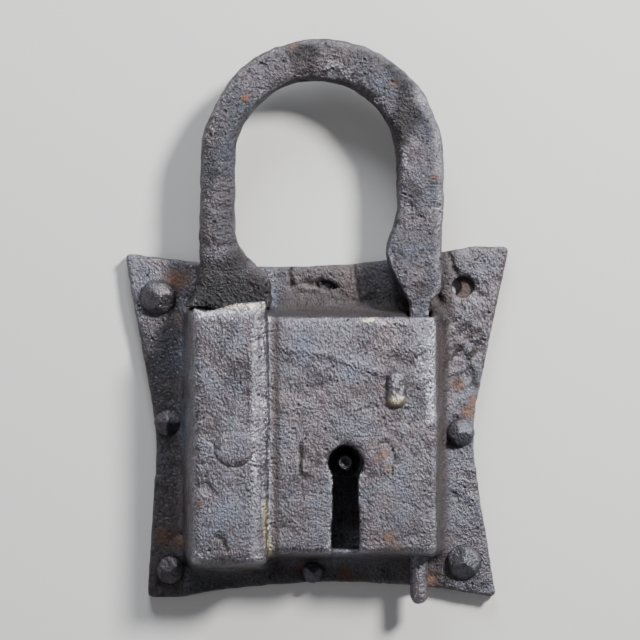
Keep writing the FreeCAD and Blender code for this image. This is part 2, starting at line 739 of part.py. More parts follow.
def make_shackle():
    """One forged bar: a bow, a wide left foot on a round shank, and a knobbed right leg with an eyed toe."""
    body = new_body("shackle")
    bow = draw(new_sketch(body, "bow_outline", offset="shackle_level"), bow_outline())
    add_pad(body, bow, "bar_thick", "bow", both_ways=True)
    faces = (size("shackle_level + bar_thick / 2"), size("shackle_level - bar_thick / 2"))
    low = size("foot_y + 9")
    narrow = size("box_top + 1.3")

    def is_bar_edge(edge):
        if not any(at_level(edge, z) for z in faces):
            return False
        middle = edge.BoundBox.Center
        return middle.y > low and not (middle.x > 0 and middle.y < narrow)

    round_edges(body, is_bar_edge, "bar_edge", "bar_edges")
    shank = new_sketch(body, "shank_section", role="XZ_Plane", offset="-(foot_y + 2)")
    draw_circle(shank, "column_x", "shackle_level", "shank_radius")
    add_pad(body, shank, "foot_y + 2 - shank_end", "shank")
    toe = new_sketch(body, "toe_section", role="XZ_Plane", offset="-(box_top + 1.2)")
    draw(toe, round_rectangle("toe_left", "toe_right", "shackle_level - toe_thick / 2",
                              "shackle_level + toe_thick / 2", "1.0"))
    add_pad(body, toe, "box_top + 1.2 - toe_tip", "toe")
    eye = new_sketch(body, "toe_eye", role="YZ_Plane", offset="toe_right + 1")
    draw(eye, rectangle("bolt_low - eye_gap", "bolt_high + eye_gap", "bolt_floor - eye_gap",
                        "bolt_floor + bolt_thick + eye_gap"))
    add_pocket(body, eye, "toe_width + 2", "eye")
    catch = new_sketch(body, "catch_hole", role="YZ_Plane", offset="column_x + shank_radius + 1")
    draw_circle(catch, "catch_y", "shackle_level", "catch_radius + set_gap")
    add_pocket(body, catch, "2 * shank_radius + 2", "catch_bore")
    return body


def make_catch_pin():
    """Pin across the shank's end: it meets the shank guide when the shackle is drawn out."""
    body = new_body("shank_catch_pin")
    section = new_sketch(body, "catch_section", role="YZ_Plane", offset="column_x")
    draw_circle(section, "catch_y", "shackle_level", "catch_radius")
    add_pad(body, section, "2 * catch_reach", "catch_rod", both_ways=True)
    return body


def guide_block(label, low, high, bore_low):
    """A forged block as wide as the column, with a round bore for the shank, open down to bore_low."""
    body = new_body(label)
    foot = "column_width / 2 - wall_inset - set_gap"
    head = foot + " - (column_ceiling - plate_thick) * lean"
    section = new_sketch(body, label + "_section", role="XZ_Plane", offset="-(%s)" % high)
    draw(section, [
        ("column_x - (%s)" % foot, "plate_thick"),
        ("column_x + " + foot, "plate_thick"),
        ("column_x + " + head, "column_ceiling"),
        ("column_x - (%s)" % head, "column_ceiling"),
    ])
    add_pad(body, section, "(%s) - (%s)" % (high, low), label + "_block")
    window = new_sketch(body, label + "_window", role="XZ_Plane", offset="-(%s)" % bore_low)
    draw_circle(window, "column_x", "shackle_level", "shank_radius + run_gap")
    add_pocket(body, window, "(%s) - (%s)" % (high, bore_low), label + "_bore")
    return body


def make_shank_guides():
    """Two blocks behind the column's face: one half way down, and one at the foot that closes the column."""
    low, high = "shank_guide_y - shank_guide_long / 2", "shank_guide_y + shank_guide_long / 2"
    guide = guide_block("shank_guide", low, high, low)
    rivet_seat(guide, "shank_guide_rivet_seat", GUIDE_RIVET[0], GUIDE_RIVET[1], "guide_rivet_radius")
    foot_low = "foot_guide_top - foot_guide_long"
    foot = guide_block("foot_guide", foot_low, "foot_guide_top", foot_low + " + foot_guide_floor")
    rivet_seat(foot, "foot_guide_rivet_seat", FOOT_RIVET[0], FOOT_RIVET[1], "foot_rivet_radius")
    make_column_rivet("shank_guide_rivet", "guide_rivet_radius", "guide_rivet_head", "guide_rivet_proud",
                      GUIDE_RIVET)
    make_column_rivet("foot_guide_rivet", "foot_rivet_radius", "foot_rivet_head", "0.3", FOOT_RIVET)


def rivet_seat(body, name, x, y, radius):
    """Blind hole in the top of a guide block for its rivet."""
    seat = new_sketch(body, name, offset="column_ceiling")
    draw_circle(seat, x, y, radius + " + set_gap")
    add_pocket(body, seat, "column_ceiling - (%s) + set_gap" % GUIDE_RIVET_END, name + "_cut")


# ---------------------------------------------------------------- lock work


GUIDE_RIVET = ("column_x + 2", "shank_guide_y")
FOOT_RIVET = ("column_x - 1.5", "foot_guide_top - foot_guide_long / 2")
GUIDE_RIVET_END = "column_ceiling - 2.6"
SPRING_CENTRE = ("tail_guide_x - 6.5", "bolt_low - 1.8")
SPRING_STUD = tuple(
    "%s + (spring_radius + spring_thick / 2 + spring_stud_radius + set_gap) * %s(-75)" % (middle, turn)
    for middle, turn in zip(SPRING_CENTRE, ("cos", "sin"))
)


def make_bolt():
    """A flat bar with two talons for the key and a slot for the stop stud."""
    left_talon = "talon_middle - talon_gap / 2"
    right_talon = "talon_middle + talon_gap / 2"
    top = "bolt_floor + bolt_thick"
    bar = part_box("bolt_bar", ("bolt_tail", "bolt_low", "bolt_floor"), ("bolt_nose", "bolt_high", top))
    lugs = [
        part_box("left_talon", (left_talon + " - talon_thick", "bolt_low - talon_drop", "bolt_floor"),
                 (left_talon, "bolt_y", top)),
        part_box("right_talon", (right_talon, "bolt_low - talon_drop", "bolt_floor"),
                 (right_talon + " + talon_thick", "bolt_y", top)),
    ]
    solid = part_join("bolt_forging", bar, *lugs)
    half = "stop_stud_radius + 0.2"
    slot = part_box("bolt_slot",
                    ("stop_stud_x - bolt_throw - (%s)" % half, "bolt_y - (%s)" % half, "bolt_floor - 1"),
                    ("stop_stud_x + " + half, "bolt_y + " + half, top + " + 1"))
    return part_cut("bolt", solid, slot)


def bolt_window(label, x):
    """The clearance hole that a bolt guide leaves for the bar."""
    return part_box(label, ("%s - guide_thick" % x, "bolt_low - run_gap", "bolt_floor - run_gap"),
                    ("%s + guide_thick" % x, "bolt_high + run_gap", "bolt_floor + bolt_thick + run_gap"))


def guide_tenon(gap):
    """Section of the bolt guide's tenon where it comes through the casing's face."""
    low, high = "bolt_y - post_drop", "bolt_y - post_drop + 7.8"
    return rectangle("bolt_guide_x - guide_thick / 2 - " + gap, "bolt_guide_x + guide_thick / 2 + " + gap,
                     "%s - %s" % (low, gap), "%s + %s" % (high, gap))


def make_bolt_guide():
    """Post beside the toe: the bar slides through it, and its tenon is riveted over on the casing's face."""
    left, right = "bolt_guide_x - guide_thick / 2", "bolt_guide_x + guide_thick / 2"
    low, high = "bolt_y - post_drop", "bolt_y - post_drop + 7.8"
    post = part_box("guide_post", (left, low, "plate_thick"), (right, "guide_head_y", "guide_top_z"))
    block = part_box("guide_block", (left, low, "plate_thick"), (right, high, "box_ceiling"))
    tenon = part_box("guide_tenon", (left, low, "box_ceiling - 1"), (right, high, "box_height"))
    head = part_box("guide_head", (left + " - 0.65", low + " - 0.55", "box_height"),
                    (right + " + 0.65", high + " + 0.55", "box_height + 0.9"))
    forged = part_join("guide_forging", post, block, tenon, head)
    return part_cut("bolt_guide", forged, bolt_window("guide_window", "bolt_guide_x"))


def tail_tenon(side, gap):
    """Section of one of the tail guide's two tenons in the back plate."""
    middle = "bolt_y %s 3.4" % side
    return rectangle("tail_guide_x - 1.2 - " + gap, "tail_guide_x + 1.2 + " + gap,
                     "%s - 0.8 - %s" % (middle, gap), "%s + 0.8 + %s" % (middle, gap))


def make_tail_guide():
    """Staple round the bolt's tail, riveted into the back plate by two tenons."""
    staple = part_box("tail_staple",
                      ("tail_guide_x - guide_thick / 2", "bolt_low - run_gap - guide_wall", "plate_thick"),
                      ("tail_guide_x + guide_thick / 2", "guide_head_y", "guide_top_z"))
    tenons = []
    for name, side in (("tail_tenon_low", "-"), ("tail_tenon_high", "+")):
        middle = "bolt_y %s 3.4" % side
        tenons.append(part_box(name, ("tail_guide_x - 1.2", middle + " - 0.8", "0"),
                               ("tail_guide_x + 1.2", middle + " + 0.8", "plate_thick + 1")))
    forged = part_join("tail_forging", staple, *tenons)
    return part_cut("bolt_tail_guide", forged, bolt_window("tail_window", "tail_guide_x"))


def make_stop_stud():
    """Stud in the bolt's slot: its two ends set the throw."""
    return part_cylinder("bolt_stop_stud", "stop_stud_x", "bolt_y", "stop_stud_radius", "0",
                         "bolt_floor + bolt_thick + 0.8")


def make_spring():
    """Bent strip that presses on the underside of the bolt, on its own stud."""
    body = new_body("bolt_spring")
    x, y = SPRING_CENTRE
    inner, outer = "(spring_radius - spring_thick / 2)", "(spring_radius + spring_thick / 2)"
    start, end = "-75", "10"
    side = -1

    def on_arc(radius, angle):
        return "%s + %s * cos(%s)" % (x, radius, angle), "%s + %s * sin(%s)" % (y, radius, angle)

    band = new_sketch(body, "spring_band", offset="shackle_level")
    draw(band, [
        on_arc(outer, start),
        on_arc(outer, end) + (outer, side),
        on_arc(inner, end),
        on_arc(inner, start) + (inner, -side),
    ])
    add_pad(body, band, "spring_wide", "spring_strip", both_ways=True)
    part_cylinder("spring_stud", SPRING_STUD[0], SPRING_STUD[1], "spring_stud_radius", "0",
                  "shackle_level + spring_wide / 2 + 0.6")
    return body


def bridge_leg(side):
    """Left and right of one leg of the ward bridge, as expressions."""
    if side == "left":
        return "keyhole_x - bridge_left - bridge_leg / 2", "keyhole_x - bridge_left + bridge_leg / 2"
    return "keyhole_x + bridge_right - bridge_leg / 2", "keyhole_x + bridge_right + bridge_leg / 2"


def bridge_tenon(side, gap):
    left, right = bridge_leg(side)
    return rectangle(left + " - " + gap, right + " + " + gap,
                     "keyhole_y - bridge_tall / 2 - " + gap, "keyhole_y + bridge_tall / 2 + " + gap)


def make_ward_bridge():
    """Strip bent behind the keyhole on two legs, whose tenons come through the casing's face."""
    low, high = "keyhole_y - bridge_tall / 2", "keyhole_y + bridge_tall / 2"
    far_left, far_right = bridge_leg("left")[0], bridge_leg("right")[1]
    strip = part_box("bridge_strip", (far_left, low, "bridge_level"),
                     (far_right, high, "bridge_level + bridge_thick"))
    legs = [part_box("bridge_leg_" + side, (bridge_leg(side)[0], low, "bridge_level"),
                     (bridge_leg(side)[1], high, "box_height"))
            for side in ("left", "right")]
    bent = part_join("bridge_strip_and_legs", strip, *legs)
    hole = part_cylinder("bridge_pin_hole", "keyhole_x", "keyhole_y", "bridge_hole", "bridge_level - 1",
                         "bridge_level + bridge_thick + 1")
    return part_cut("ward_bridge", bent, hole)


def make_round_ward():
    """Broken ring on the back plate that a slot in the key's bit passes over."""
    top = "plate_thick + ring_rise"
    ring = part_cylinder("ring_outside", "keyhole_x", "keyhole_y", "ring_radius", "plate_thick", top)
    core = part_cylinder("ring_inside", "keyhole_x", "keyhole_y", "ring_radius - ring_wall",
                         "plate_thick - 1", top + " + 1")
    gap = part_box("ring_opening",
                   ("keyhole_x - ring_gap / 2", "keyhole_y - ring_radius - 1", "plate_thick - 1"),
                   ("keyhole_x + ring_gap / 2", "keyhole_y", top + " + 1"))
    return part_cut("round_ward", ring, part_join("ring_removed", core, gap))


def make_key_pin():
    """Pin that centres a pipe key. Its tip is cupped, and its tail is flush with the back."""
    body = new_body("key_pin")
    profile = new_sketch(body, "key_pin_profile", role="XZ_Plane")
    draw(profile, [
        ("pin_radius", "0"),
        ("pin_radius", "pin_top - 0.5"),
        ("pin_radius - 0.5", "pin_top"),
        ("pin_cup", "pin_top"),
        ("0", "pin_top - pin_cup"),
        ("0", "0"),
    ])
    spin(body, profile, "key_pin_turned")
    bind(body, "Placement.Base.x", "keyhole_x")
    bind(body, "Placement.Base.y", "keyhole_y")
    return body


def make_bottom_peg():
    """Round peg through the box's bottom wall, with an upset head inside."""
    body = new_body("bottom_peg")
    inner_wall = "box_bottom + wall_inset + (peg_level + peg_head - plate_thick) * lean + 0.1"
    tip = "box_bottom - peg_reach"
    profile = new_sketch(body, "peg_profile")
    draw(profile, [
        ("0", tip),
        ("peg_radius", tip + " + peg_radius * 0.8", "peg_radius * 1.05", -1),
        ("peg_radius", inner_wall),
        ("peg_head", inner_wall),
        ("peg_head", inner_wall + " + 1.8"),
        ("0", inner_wall + " + 2.2"),
    ])
    spin(body, profile, "peg_turned")
    bind(body, "Placement.Base.x", "box_right - peg_inset")
    bind(body, "Placement.Base.z", "peg_level")
    return body


# ---------------------------------------------------------------- document and export


NODES = (
    ["back_plate", "front_casing", "shackle", "shank_catch_pin"]
    + ["shank_guide", "foot_guide", "shank_guide_rivet", "foot_guide_rivet"]
    + [row[0] for row in RIVETS]
    + ["bolt", "bolt_guide", "bolt_tail_guide", "bolt_stop_stud", "bolt_spring", "spring_stud"]
    + ["ward_bridge", "round_ward", "key_pin", "bottom_peg"]
)


def build():
    fill_sheet()
    make_back_plate()
    make_front_casing()
    make_shackle()
    make_catch_pin()
    make_shank_guides()
    for row in RIVETS:
        make_case_rivet(row[0])
    make_bolt()
    make_bolt_guide()
    make_tail_guide()
    make_stop_stud()
    make_spring()
    make_ward_bridge()
    make_round_ward()
    make_key_pin()
    make_bottom_peg()
    document.recompute()


def check_document():
    """Stop if any object of the document failed, or a sub-part has no valid solid."""
    for item in document.Objects:
        if "Invalid" in item.State or "Error" in item.State:
            raise RuntimeError("%s failed: %s" % (item.Label, item.State))
    for name in NODES:
        shape = document.getObject(name).Shape
        if shape.isNull() or not shape.isValid() or not shape.Solids:
            raise RuntimeError("%s has no valid solid" % name)


def export():
    os.makedirs("parts", exist_ok=True)
    for name in NODES:
        shape = document.getObject(name).Shape
        shape.exportStep("parts/%s.step" % name)
        print("%-20s solids %d  volume %9.1f mm3" % (name, len(shape.Solids), shape.Volume))


build()
check_document()
export()
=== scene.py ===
# %% [markdown]
# # A forged iron padlock, rusted and worn
#
# The lock is a raised sheet casing riveted to a flat back plate, with a heavy shackle drawn by hand. It lies
# on its back on a pale table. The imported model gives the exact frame: every piece starts from it, and gets
# the marks of the hammer, the worn edges, the cracks and the rust that old iron has.

# %% load the frame
import math

import bmesh
import bpy
import numpy as np
from mathutils import Matrix, Vector, noise


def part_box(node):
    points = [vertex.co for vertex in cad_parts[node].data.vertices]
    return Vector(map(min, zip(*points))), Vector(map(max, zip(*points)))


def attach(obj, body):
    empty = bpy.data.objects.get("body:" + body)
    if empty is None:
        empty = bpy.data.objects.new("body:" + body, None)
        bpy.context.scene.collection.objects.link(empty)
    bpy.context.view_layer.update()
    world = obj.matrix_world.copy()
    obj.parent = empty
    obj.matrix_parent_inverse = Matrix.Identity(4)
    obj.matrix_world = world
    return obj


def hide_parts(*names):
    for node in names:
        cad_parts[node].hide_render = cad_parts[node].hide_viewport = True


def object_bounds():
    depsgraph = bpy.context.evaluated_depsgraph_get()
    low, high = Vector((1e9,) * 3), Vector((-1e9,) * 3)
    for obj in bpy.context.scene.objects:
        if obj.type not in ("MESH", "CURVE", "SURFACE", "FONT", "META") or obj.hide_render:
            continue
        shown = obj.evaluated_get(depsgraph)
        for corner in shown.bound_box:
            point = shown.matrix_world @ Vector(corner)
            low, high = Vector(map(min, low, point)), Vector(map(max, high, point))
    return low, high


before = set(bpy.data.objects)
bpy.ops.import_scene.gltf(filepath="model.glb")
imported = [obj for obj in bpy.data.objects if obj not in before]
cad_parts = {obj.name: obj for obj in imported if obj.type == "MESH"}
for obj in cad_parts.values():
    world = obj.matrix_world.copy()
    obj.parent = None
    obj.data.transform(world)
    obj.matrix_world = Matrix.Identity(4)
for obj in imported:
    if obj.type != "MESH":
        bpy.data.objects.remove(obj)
cad_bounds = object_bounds()
MM = 0.001
print("CAD box", cad_bounds)

# %% [markdown]
# ## Where things are
#
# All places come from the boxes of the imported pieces, so that nothing here has to be fitted by hand. The
# helper gives one number of a piece's box in millimetres, because a smith's marks are easier to think of
# in millimetres.

# %% places


def side_of(node, axis, end):
    """The low (0) or high (1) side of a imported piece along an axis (0, 1 or 2), in millimetres."""
    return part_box(node)[end][axis] / MM


SHEET = 2.0
COLUMN_STEP = 4.0
PLATE_TOP = side_of("back_plate", 2, 1)
FLANGE_TOP = PLATE_TOP + SHEET
COLUMN_FACE = side_of("front_casing", 2, 1)
BOX_FACE = COLUMN_FACE - COLUMN_STEP


def middle_of(node):
    """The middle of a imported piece's box, in millimetres."""
    return np.array([(side_of(node, axis, 0) + side_of(node, axis, 1)) / 2 for axis in range(3)])


KEY_X, KEY_Y = middle_of("key_pin")[:2]
for level, height in (("flange", FLANGE_TOP), ("box face", BOX_FACE), ("column face", COLUMN_FACE)):
    print(level, "at", round(height, 2), "mm")

# %% [markdown]
# ## The forged skin
#
# Real forged iron has no sharp edge and no flat face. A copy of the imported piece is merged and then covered
# by a voxel remesh, which gives it an even skin of small faces. That even skin can be smoothed like worn
# metal and pushed about like hammered metal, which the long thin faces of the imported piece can't be.

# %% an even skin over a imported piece
MERGED = 1e-6


def even_skin(node, name, voxel, plugs=()):
    """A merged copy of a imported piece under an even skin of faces, voxel millimetres across.

    A plug is a (low, high) box in millimetres that closes a hole under the skin."""
    shape = bmesh.new()
    shape.from_mesh(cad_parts[node].data)
    bmesh.ops.remove_doubles(shape, verts=shape.verts, dist=MERGED)
    for low, high in plugs:
        size = Matrix.Diagonal(Vector((*((high - low) * MM), 1)))
        place = Matrix.Translation(Vector((low + high) / 2 * MM))
        bmesh.ops.create_cube(shape, size=1, matrix=place @ size)
    rough = bpy.data.meshes.new(name + "_rough")
    shape.to_mesh(rough)
    shape.free()

    carrier = bpy.data.objects.new(name, rough)
    bpy.context.scene.collection.objects.link(carrier)
    remesh = carrier.modifiers.new("skin", "REMESH")
    remesh.mode = "VOXEL"
    remesh.voxel_size = voxel * MM
    depsgraph = bpy.context.evaluated_depsgraph_get()
    skinned = bpy.data.meshes.new_from_object(carrier.evaluated_get(depsgraph))
    carrier.modifiers.clear()
    carrier.data = skinned
    skinned.name = name
    bpy.data.meshes.remove(rough)
    print(name, "skin of", len(skinned.polygons), "faces")
    return carrier


# %% [markdown]
# Positions are read into an array, moved there, and written back. Work on arrays is what makes it possible
# to hammer a skin of a hundred thousand points in a few seconds.

# %% reading and writing the skin's points


def points_of(piece):
    """The piece's points as an array in millimetres."""
    flat = np.empty(len(piece.data.vertices) * 3, np.float32)
    piece.data.vertices.foreach_get("co", flat)
    return flat.reshape(-1, 3).astype(float) / MM


def set_points(piece, points):
    piece.data.vertices.foreach_set("co", (points * MM).astype(np.float32).ravel())
    piece.data.update()


def normals_of(piece):
    flat = np.empty(len(piece.data.vertices) * 3, np.float32)
    piece.data.vertex_normals.foreach_get("vector", flat)
    return flat.reshape(-1, 3).astype(float)


def edges_of(piece):
    flat = np.empty(len(piece.data.edges) * 2, np.int32)
    piece.data.edges.foreach_get("vertices", flat)
    return flat.reshape(-1, 2)


# %% [markdown]
# Wear takes metal off edges and leaves it in hollows. Averaging each point with its neighbours does the
# same. The strength may differ from point to point, so that a bearing surface can stay true.

# %% averaging over neighbours


def neighbour_mean(values, edges):
    """The mean of a value over each point's neighbours."""
    count = np.bincount(edges.ravel(), minlength=len(values)).clip(1)
    total = np.bincount(edges[:, 0], values[edges[:, 1]], len(values))
    total += np.bincount(edges[:, 1], values[edges[:, 0]], len(values))
    return total / count


def wear_smooth(points, edges, rounds, strength=0.5):
    """Average each point with its neighbours, rounds times."""
    strength = np.broadcast_to(np.asarray(strength, float).reshape(-1, 1), (len(points), 1))
    for _ in range(rounds):
        mean = np.stack([neighbour_mean(points[:, axis], edges) for axis in range(3)], axis=1)
        points = points + (mean - points) * strength
    return points


def spread(values, edges, rounds):
    """Average a value over neighbouring points, rounds times."""
    for _ in range(rounds):
        values = 0.5 * values + 0.5 * neighbour_mean(values, edges)
    return values


# %% [markdown]
# Hammer blows leave soft facets 10 to 20 mm across, scale leaves lumps of 4 to 6 mm, and rust eats pits of
# 2 to 3 mm. All three are the same noise at different sizes. Each use gets its own seed, a place in the
# noise field far from the others.

# %% noise on points


def forge_noise(points, size, seed):
    """Smooth noise between about -1 and 1 at each point, with features of this size in millimetres."""
    shift = Vector((seed * 17.3, seed * -9.1, seed * 5.7))
    return np.array([noise.noise(Vector(point) / size + shift) for point in points])


def ease(values, low, high):
    """0 below low, 1 above high, and smooth between them. low may be the larger one."""
    share = ((values - low) / (high - low)).clip(0, 1)
    return share * share * (3 - 2 * share)


# %% [markdown]
# Damage sits in particular places: a rust bloom is a spot, a crack or a scratch is a broken line. Both are
# measured in plan, as seen from the front, and both give 1 on the mark and fall to 0 beside it.

# %% spots and lines


def on_spot(points, place, radius, stretch=(1, 1)):
    """1 at a place (x, y) and 0 well outside the radius. stretch lengthens the spot along an axis."""
    away = (points[:, :2] - np.asarray(place, float)) / np.asarray(stretch, float)
    return np.exp(-(away ** 2).sum(1) / (radius * radius))


def on_line(points, stops, width):
    """1 on a broken line through (x, y) stops and 0 beside it."""
    nearest = np.full(len(points), 1e9)
    flat = points[:, :2]
    for start, end in zip(stops[:-1], stops[1:]):
        a, b = np.asarray(start, float), np.asarray(end, float)
        run = b - a
        share = (((flat - a) @ run) / (run @ run)).clip(0, 1)
        nearest = np.minimum(nearest, np.linalg.norm(flat - a - share[:, None] * run, axis=1))
    return np.exp(-((nearest / width) ** 2))


def from_key(*offsets):
    """Places on the case, given as (right, above) the key's axis in millimetres."""
    return [(KEY_X + right, KEY_Y + above) for right, above in offsets]


# %% [markdown]
# ## One skin and its marks
#
# The finish has to know where the iron is worn bright, where a highlight or shade is painted, where dirt
# gathers, where rust blooms. Those marks are numbers from 0 to 1 on the skin's points, stored as attributes
# that the shader reads.
# Comparing the skin with a much smoother copy of itself tells an edge from a hollow: on an edge the smooth
# copy lies inside the metal, in a hollow outside it.

# %% a skin that remembers its marks
MARKS = ("wear_and_highlight", "recess", "bloom", "grime_and_shade", "chalk_and_highlight")
CAD_LOW, CAD_HIGH = (np.array(corner) / MM for corner in cad_bounds)


class Skin:
    """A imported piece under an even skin, while it is being worked."""

    def __init__(self, node, name, voxel, plugs=()):
        self.node = node
        self.piece = even_skin(node, name, voxel, plugs)
        self.points, self.edges = points_of(self.piece), edges_of(self.piece)
        self.marks = {mark: np.zeros(len(self.points)) for mark in MARKS}

    def normals(self):
        set_points(self.piece, self.points)
        return normals_of(self.piece)

    def smooth(self, rounds, strength=0.5):
        self.points = wear_smooth(self.points, self.edges, rounds, strength)

    def push(self, depth):
        """Move every point out along its normal by depth millimetres."""
        self.points = self.points + self.normals() * np.asarray(depth).reshape(-1, 1)

    def mark(self, name, values):
        self.marks[name] = np.maximum(self.marks[name], values)

    def weigh(self, rounds, depth):
        """Find the edges and hollows, and mark them as worn and as dirty."""
        smooth = wear_smooth(self.points, self.edges, rounds)
        height = ((self.points - smooth) * self.normals()).sum(1)
        self.mark("wear_and_highlight", ease(spread(height, self.edges, 2), 0.10 * depth, depth))
        self.mark("recess", ease(spread(-height, self.edges, 3), 0.10 * depth, depth))

    def finish(self, finish, body, slot):
        """Shade it smooth, store its marks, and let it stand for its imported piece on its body."""
        self.points = np.clip(self.points, CAD_LOW, CAD_HIGH)
        set_points(self.piece, self.points)
        for polygon in self.piece.data.polygons:
            polygon.use_smooth = True
        for mark, values in self.marks.items():
            attribute = self.piece.data.attributes.new(mark, "FLOAT", "POINT")
            attribute.data.foreach_set("value", np.clip(values, 0, 1).astype(np.float32))
        self.piece.data.materials.append(FINISHES[finish])
        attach(self.piece, body)
        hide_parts(self.node)
        triangles = sum(len(polygon.vertices) - 2 for polygon in self.piece.data.polygons)
        print(self.piece.name, "has", triangles, "triangles")


# %% [markdown]
# ## Shader maths
#
# A finish is a sum of masks. Written as nodes, that is a long wire diagram, so one small class lets a socket
# be used like a number in an ordinary expression: adding two of them adds a Math node.

# %% a socket that can be used like a number


class Field:
    """A number that changes over the surface: the output socket of a node."""

    def __init__(self, finish, socket):
        self.finish, self.socket = finish, socket

    def math(self, operation, *others):
        inputs = dict(enumerate((self,) + others))
        return self.finish.add("ShaderNodeMath", {"operation": operation}, inputs)

    def __add__(self, other):
        return self.math("ADD", other)

    def __mul__(self, other):
        return self.math("MULTIPLY", other)

    def __sub__(self, other):
        return self.math("SUBTRACT", other)

    def __rsub__(self, other):
        return (self * -1.0) + other

    def larger(self, other):
        return self.math("MAXIMUM", other)

    def between(self, low, high):
        """0 below low, 1 above high, smooth between them."""
        settings = {"interpolation_type": "SMOOTHSTEP"}
        inputs = {"Value": self, "From Min": low, "From Max": high}
        return self.finish.add("ShaderNodeMapRange", settings, inputs)

    __radd__ = __add__
    __rmul__ = __mul__


# %% a finish under construction


class Finish:
    """A material while its nodes are being added."""

    def __init__(self, name):
        self.material = bpy.data.materials.new(name)
        self.material.use_nodes = True
        self.tree = self.material.node_tree
        self.tree.nodes.clear()
        self.shader = self.tree.nodes.new("ShaderNodeBsdfPrincipled")
        output = self.tree.nodes.new("ShaderNodeOutputMaterial")
        self.tree.links.new(self.shader.outputs["BSDF"], output.inputs["Surface"])
        self.place = self.add("ShaderNodeTexCoord", {}, {}, "Object")

    def add(self, kind, settings, inputs, output=0):
        """Add a node with these settings and inputs, and give one of its outputs."""
        node = self.tree.nodes.new(kind)
        for key, value in settings.items():
            setattr(node, key, value)
        for key, value in inputs.items():
            self.feed(node.inputs[key], value)
        return Field(self, node.outputs[output])

    def feed(self, socket, value):
        if isinstance(value, Field):
            self.tree.links.new(value.socket, socket)
        else:
            socket.default_value = value

    def noise(self, size, detail=3.0, roughness=0.55, place=None):
        """Noise between 0 and 1 with features of this size in millimetres."""
        inputs = {"Vector": place or self.place, "Scale": 1 / (size * MM)}
        inputs.update({"Detail": detail, "Roughness": roughness})
        return self.add("ShaderNodeTexNoise", {}, inputs)

    def cells(self, size, place=None):
        """Distance to the nearest of many scattered points, about this many millimetres apart."""
        inputs = {"Vector": place or self.place, "Scale": 1 / (size * MM)}
        return self.add("ShaderNodeTexVoronoi", {"feature": "F1"}, inputs, "Distance")

    def stretched(self, scale):
        """The place on the piece with each axis scaled, so that a pattern can run in streaks."""
        return self.add("ShaderNodeMapping", {}, {"Vector": self.place, "Scale": scale})

    def mark(self, name):
        """One of the marks stored on the piece's points."""
        return self.add("ShaderNodeAttribute", {"attribute_name": name}, {}, "Fac")

    def mix(self, first, second, share):
        """A colour that is first where share is 0 and second where it is 1."""
        mixer = self.tree.nodes.new("ShaderNodeMix")
        mixer.data_type = "RGBA"
        colours = [socket for socket in mixer.inputs if socket.type == "RGBA"]
        self.feed(mixer.inputs[0], share)
        self.feed(colours[0], first)
        self.feed(colours[1], second)
        return Field(self, [socket for socket in mixer.outputs if socket.type == "RGBA"][0])

    def bump(self, height, distance, strength=1.0):
        inputs = {"Height": height, "Distance": distance * MM, "Strength": strength}
        return self.add("ShaderNodeBump", {}, inputs)

    def set(self, **values):
        for key, value in values.items():
            self.feed(self.shader.inputs[key.replace("_", " ")], value)
        return self.material


# %% [markdown]
# ## Old iron
#
# The skin of old forged iron is a purple-grey oxide with a close orange-peel grain. High spots are rubbed
# paler and bluer, low spots hold oil and dirt, so one relief drives both the bump and the colour. Rust
# shows in three strengths: a brown haze that follows broad noise, deeper brown in hollows, and orange
# powder in a few blooms. Chalk is the pale tan of a fresh scrape, and in places a painted highlight. The
# worn mark paints both wear and highlights into the colour, and the grime mark both dirt and shade.

# %% the iron finish


def colour(red, green, blue):
    return (red, green, blue, 1.0)


# This darkest colour stands for soot and dirt, and also for painted shade.
SOOT_AND_SHADE = colour(0.014, 0.012, 0.012)
DARK = colour(0.050, 0.044, 0.050)
MIDDLE = colour(0.150, 0.141, 0.163)
PALE = colour(0.340, 0.335, 0.375)
BLUE = colour(0.150, 0.165, 0.215)
PLUM = colour(0.125, 0.090, 0.098)
BROWN = colour(0.105, 0.062, 0.047)
ORANGE = colour(0.250, 0.122, 0.080)
TAN = colour(0.520, 0.450, 0.340)


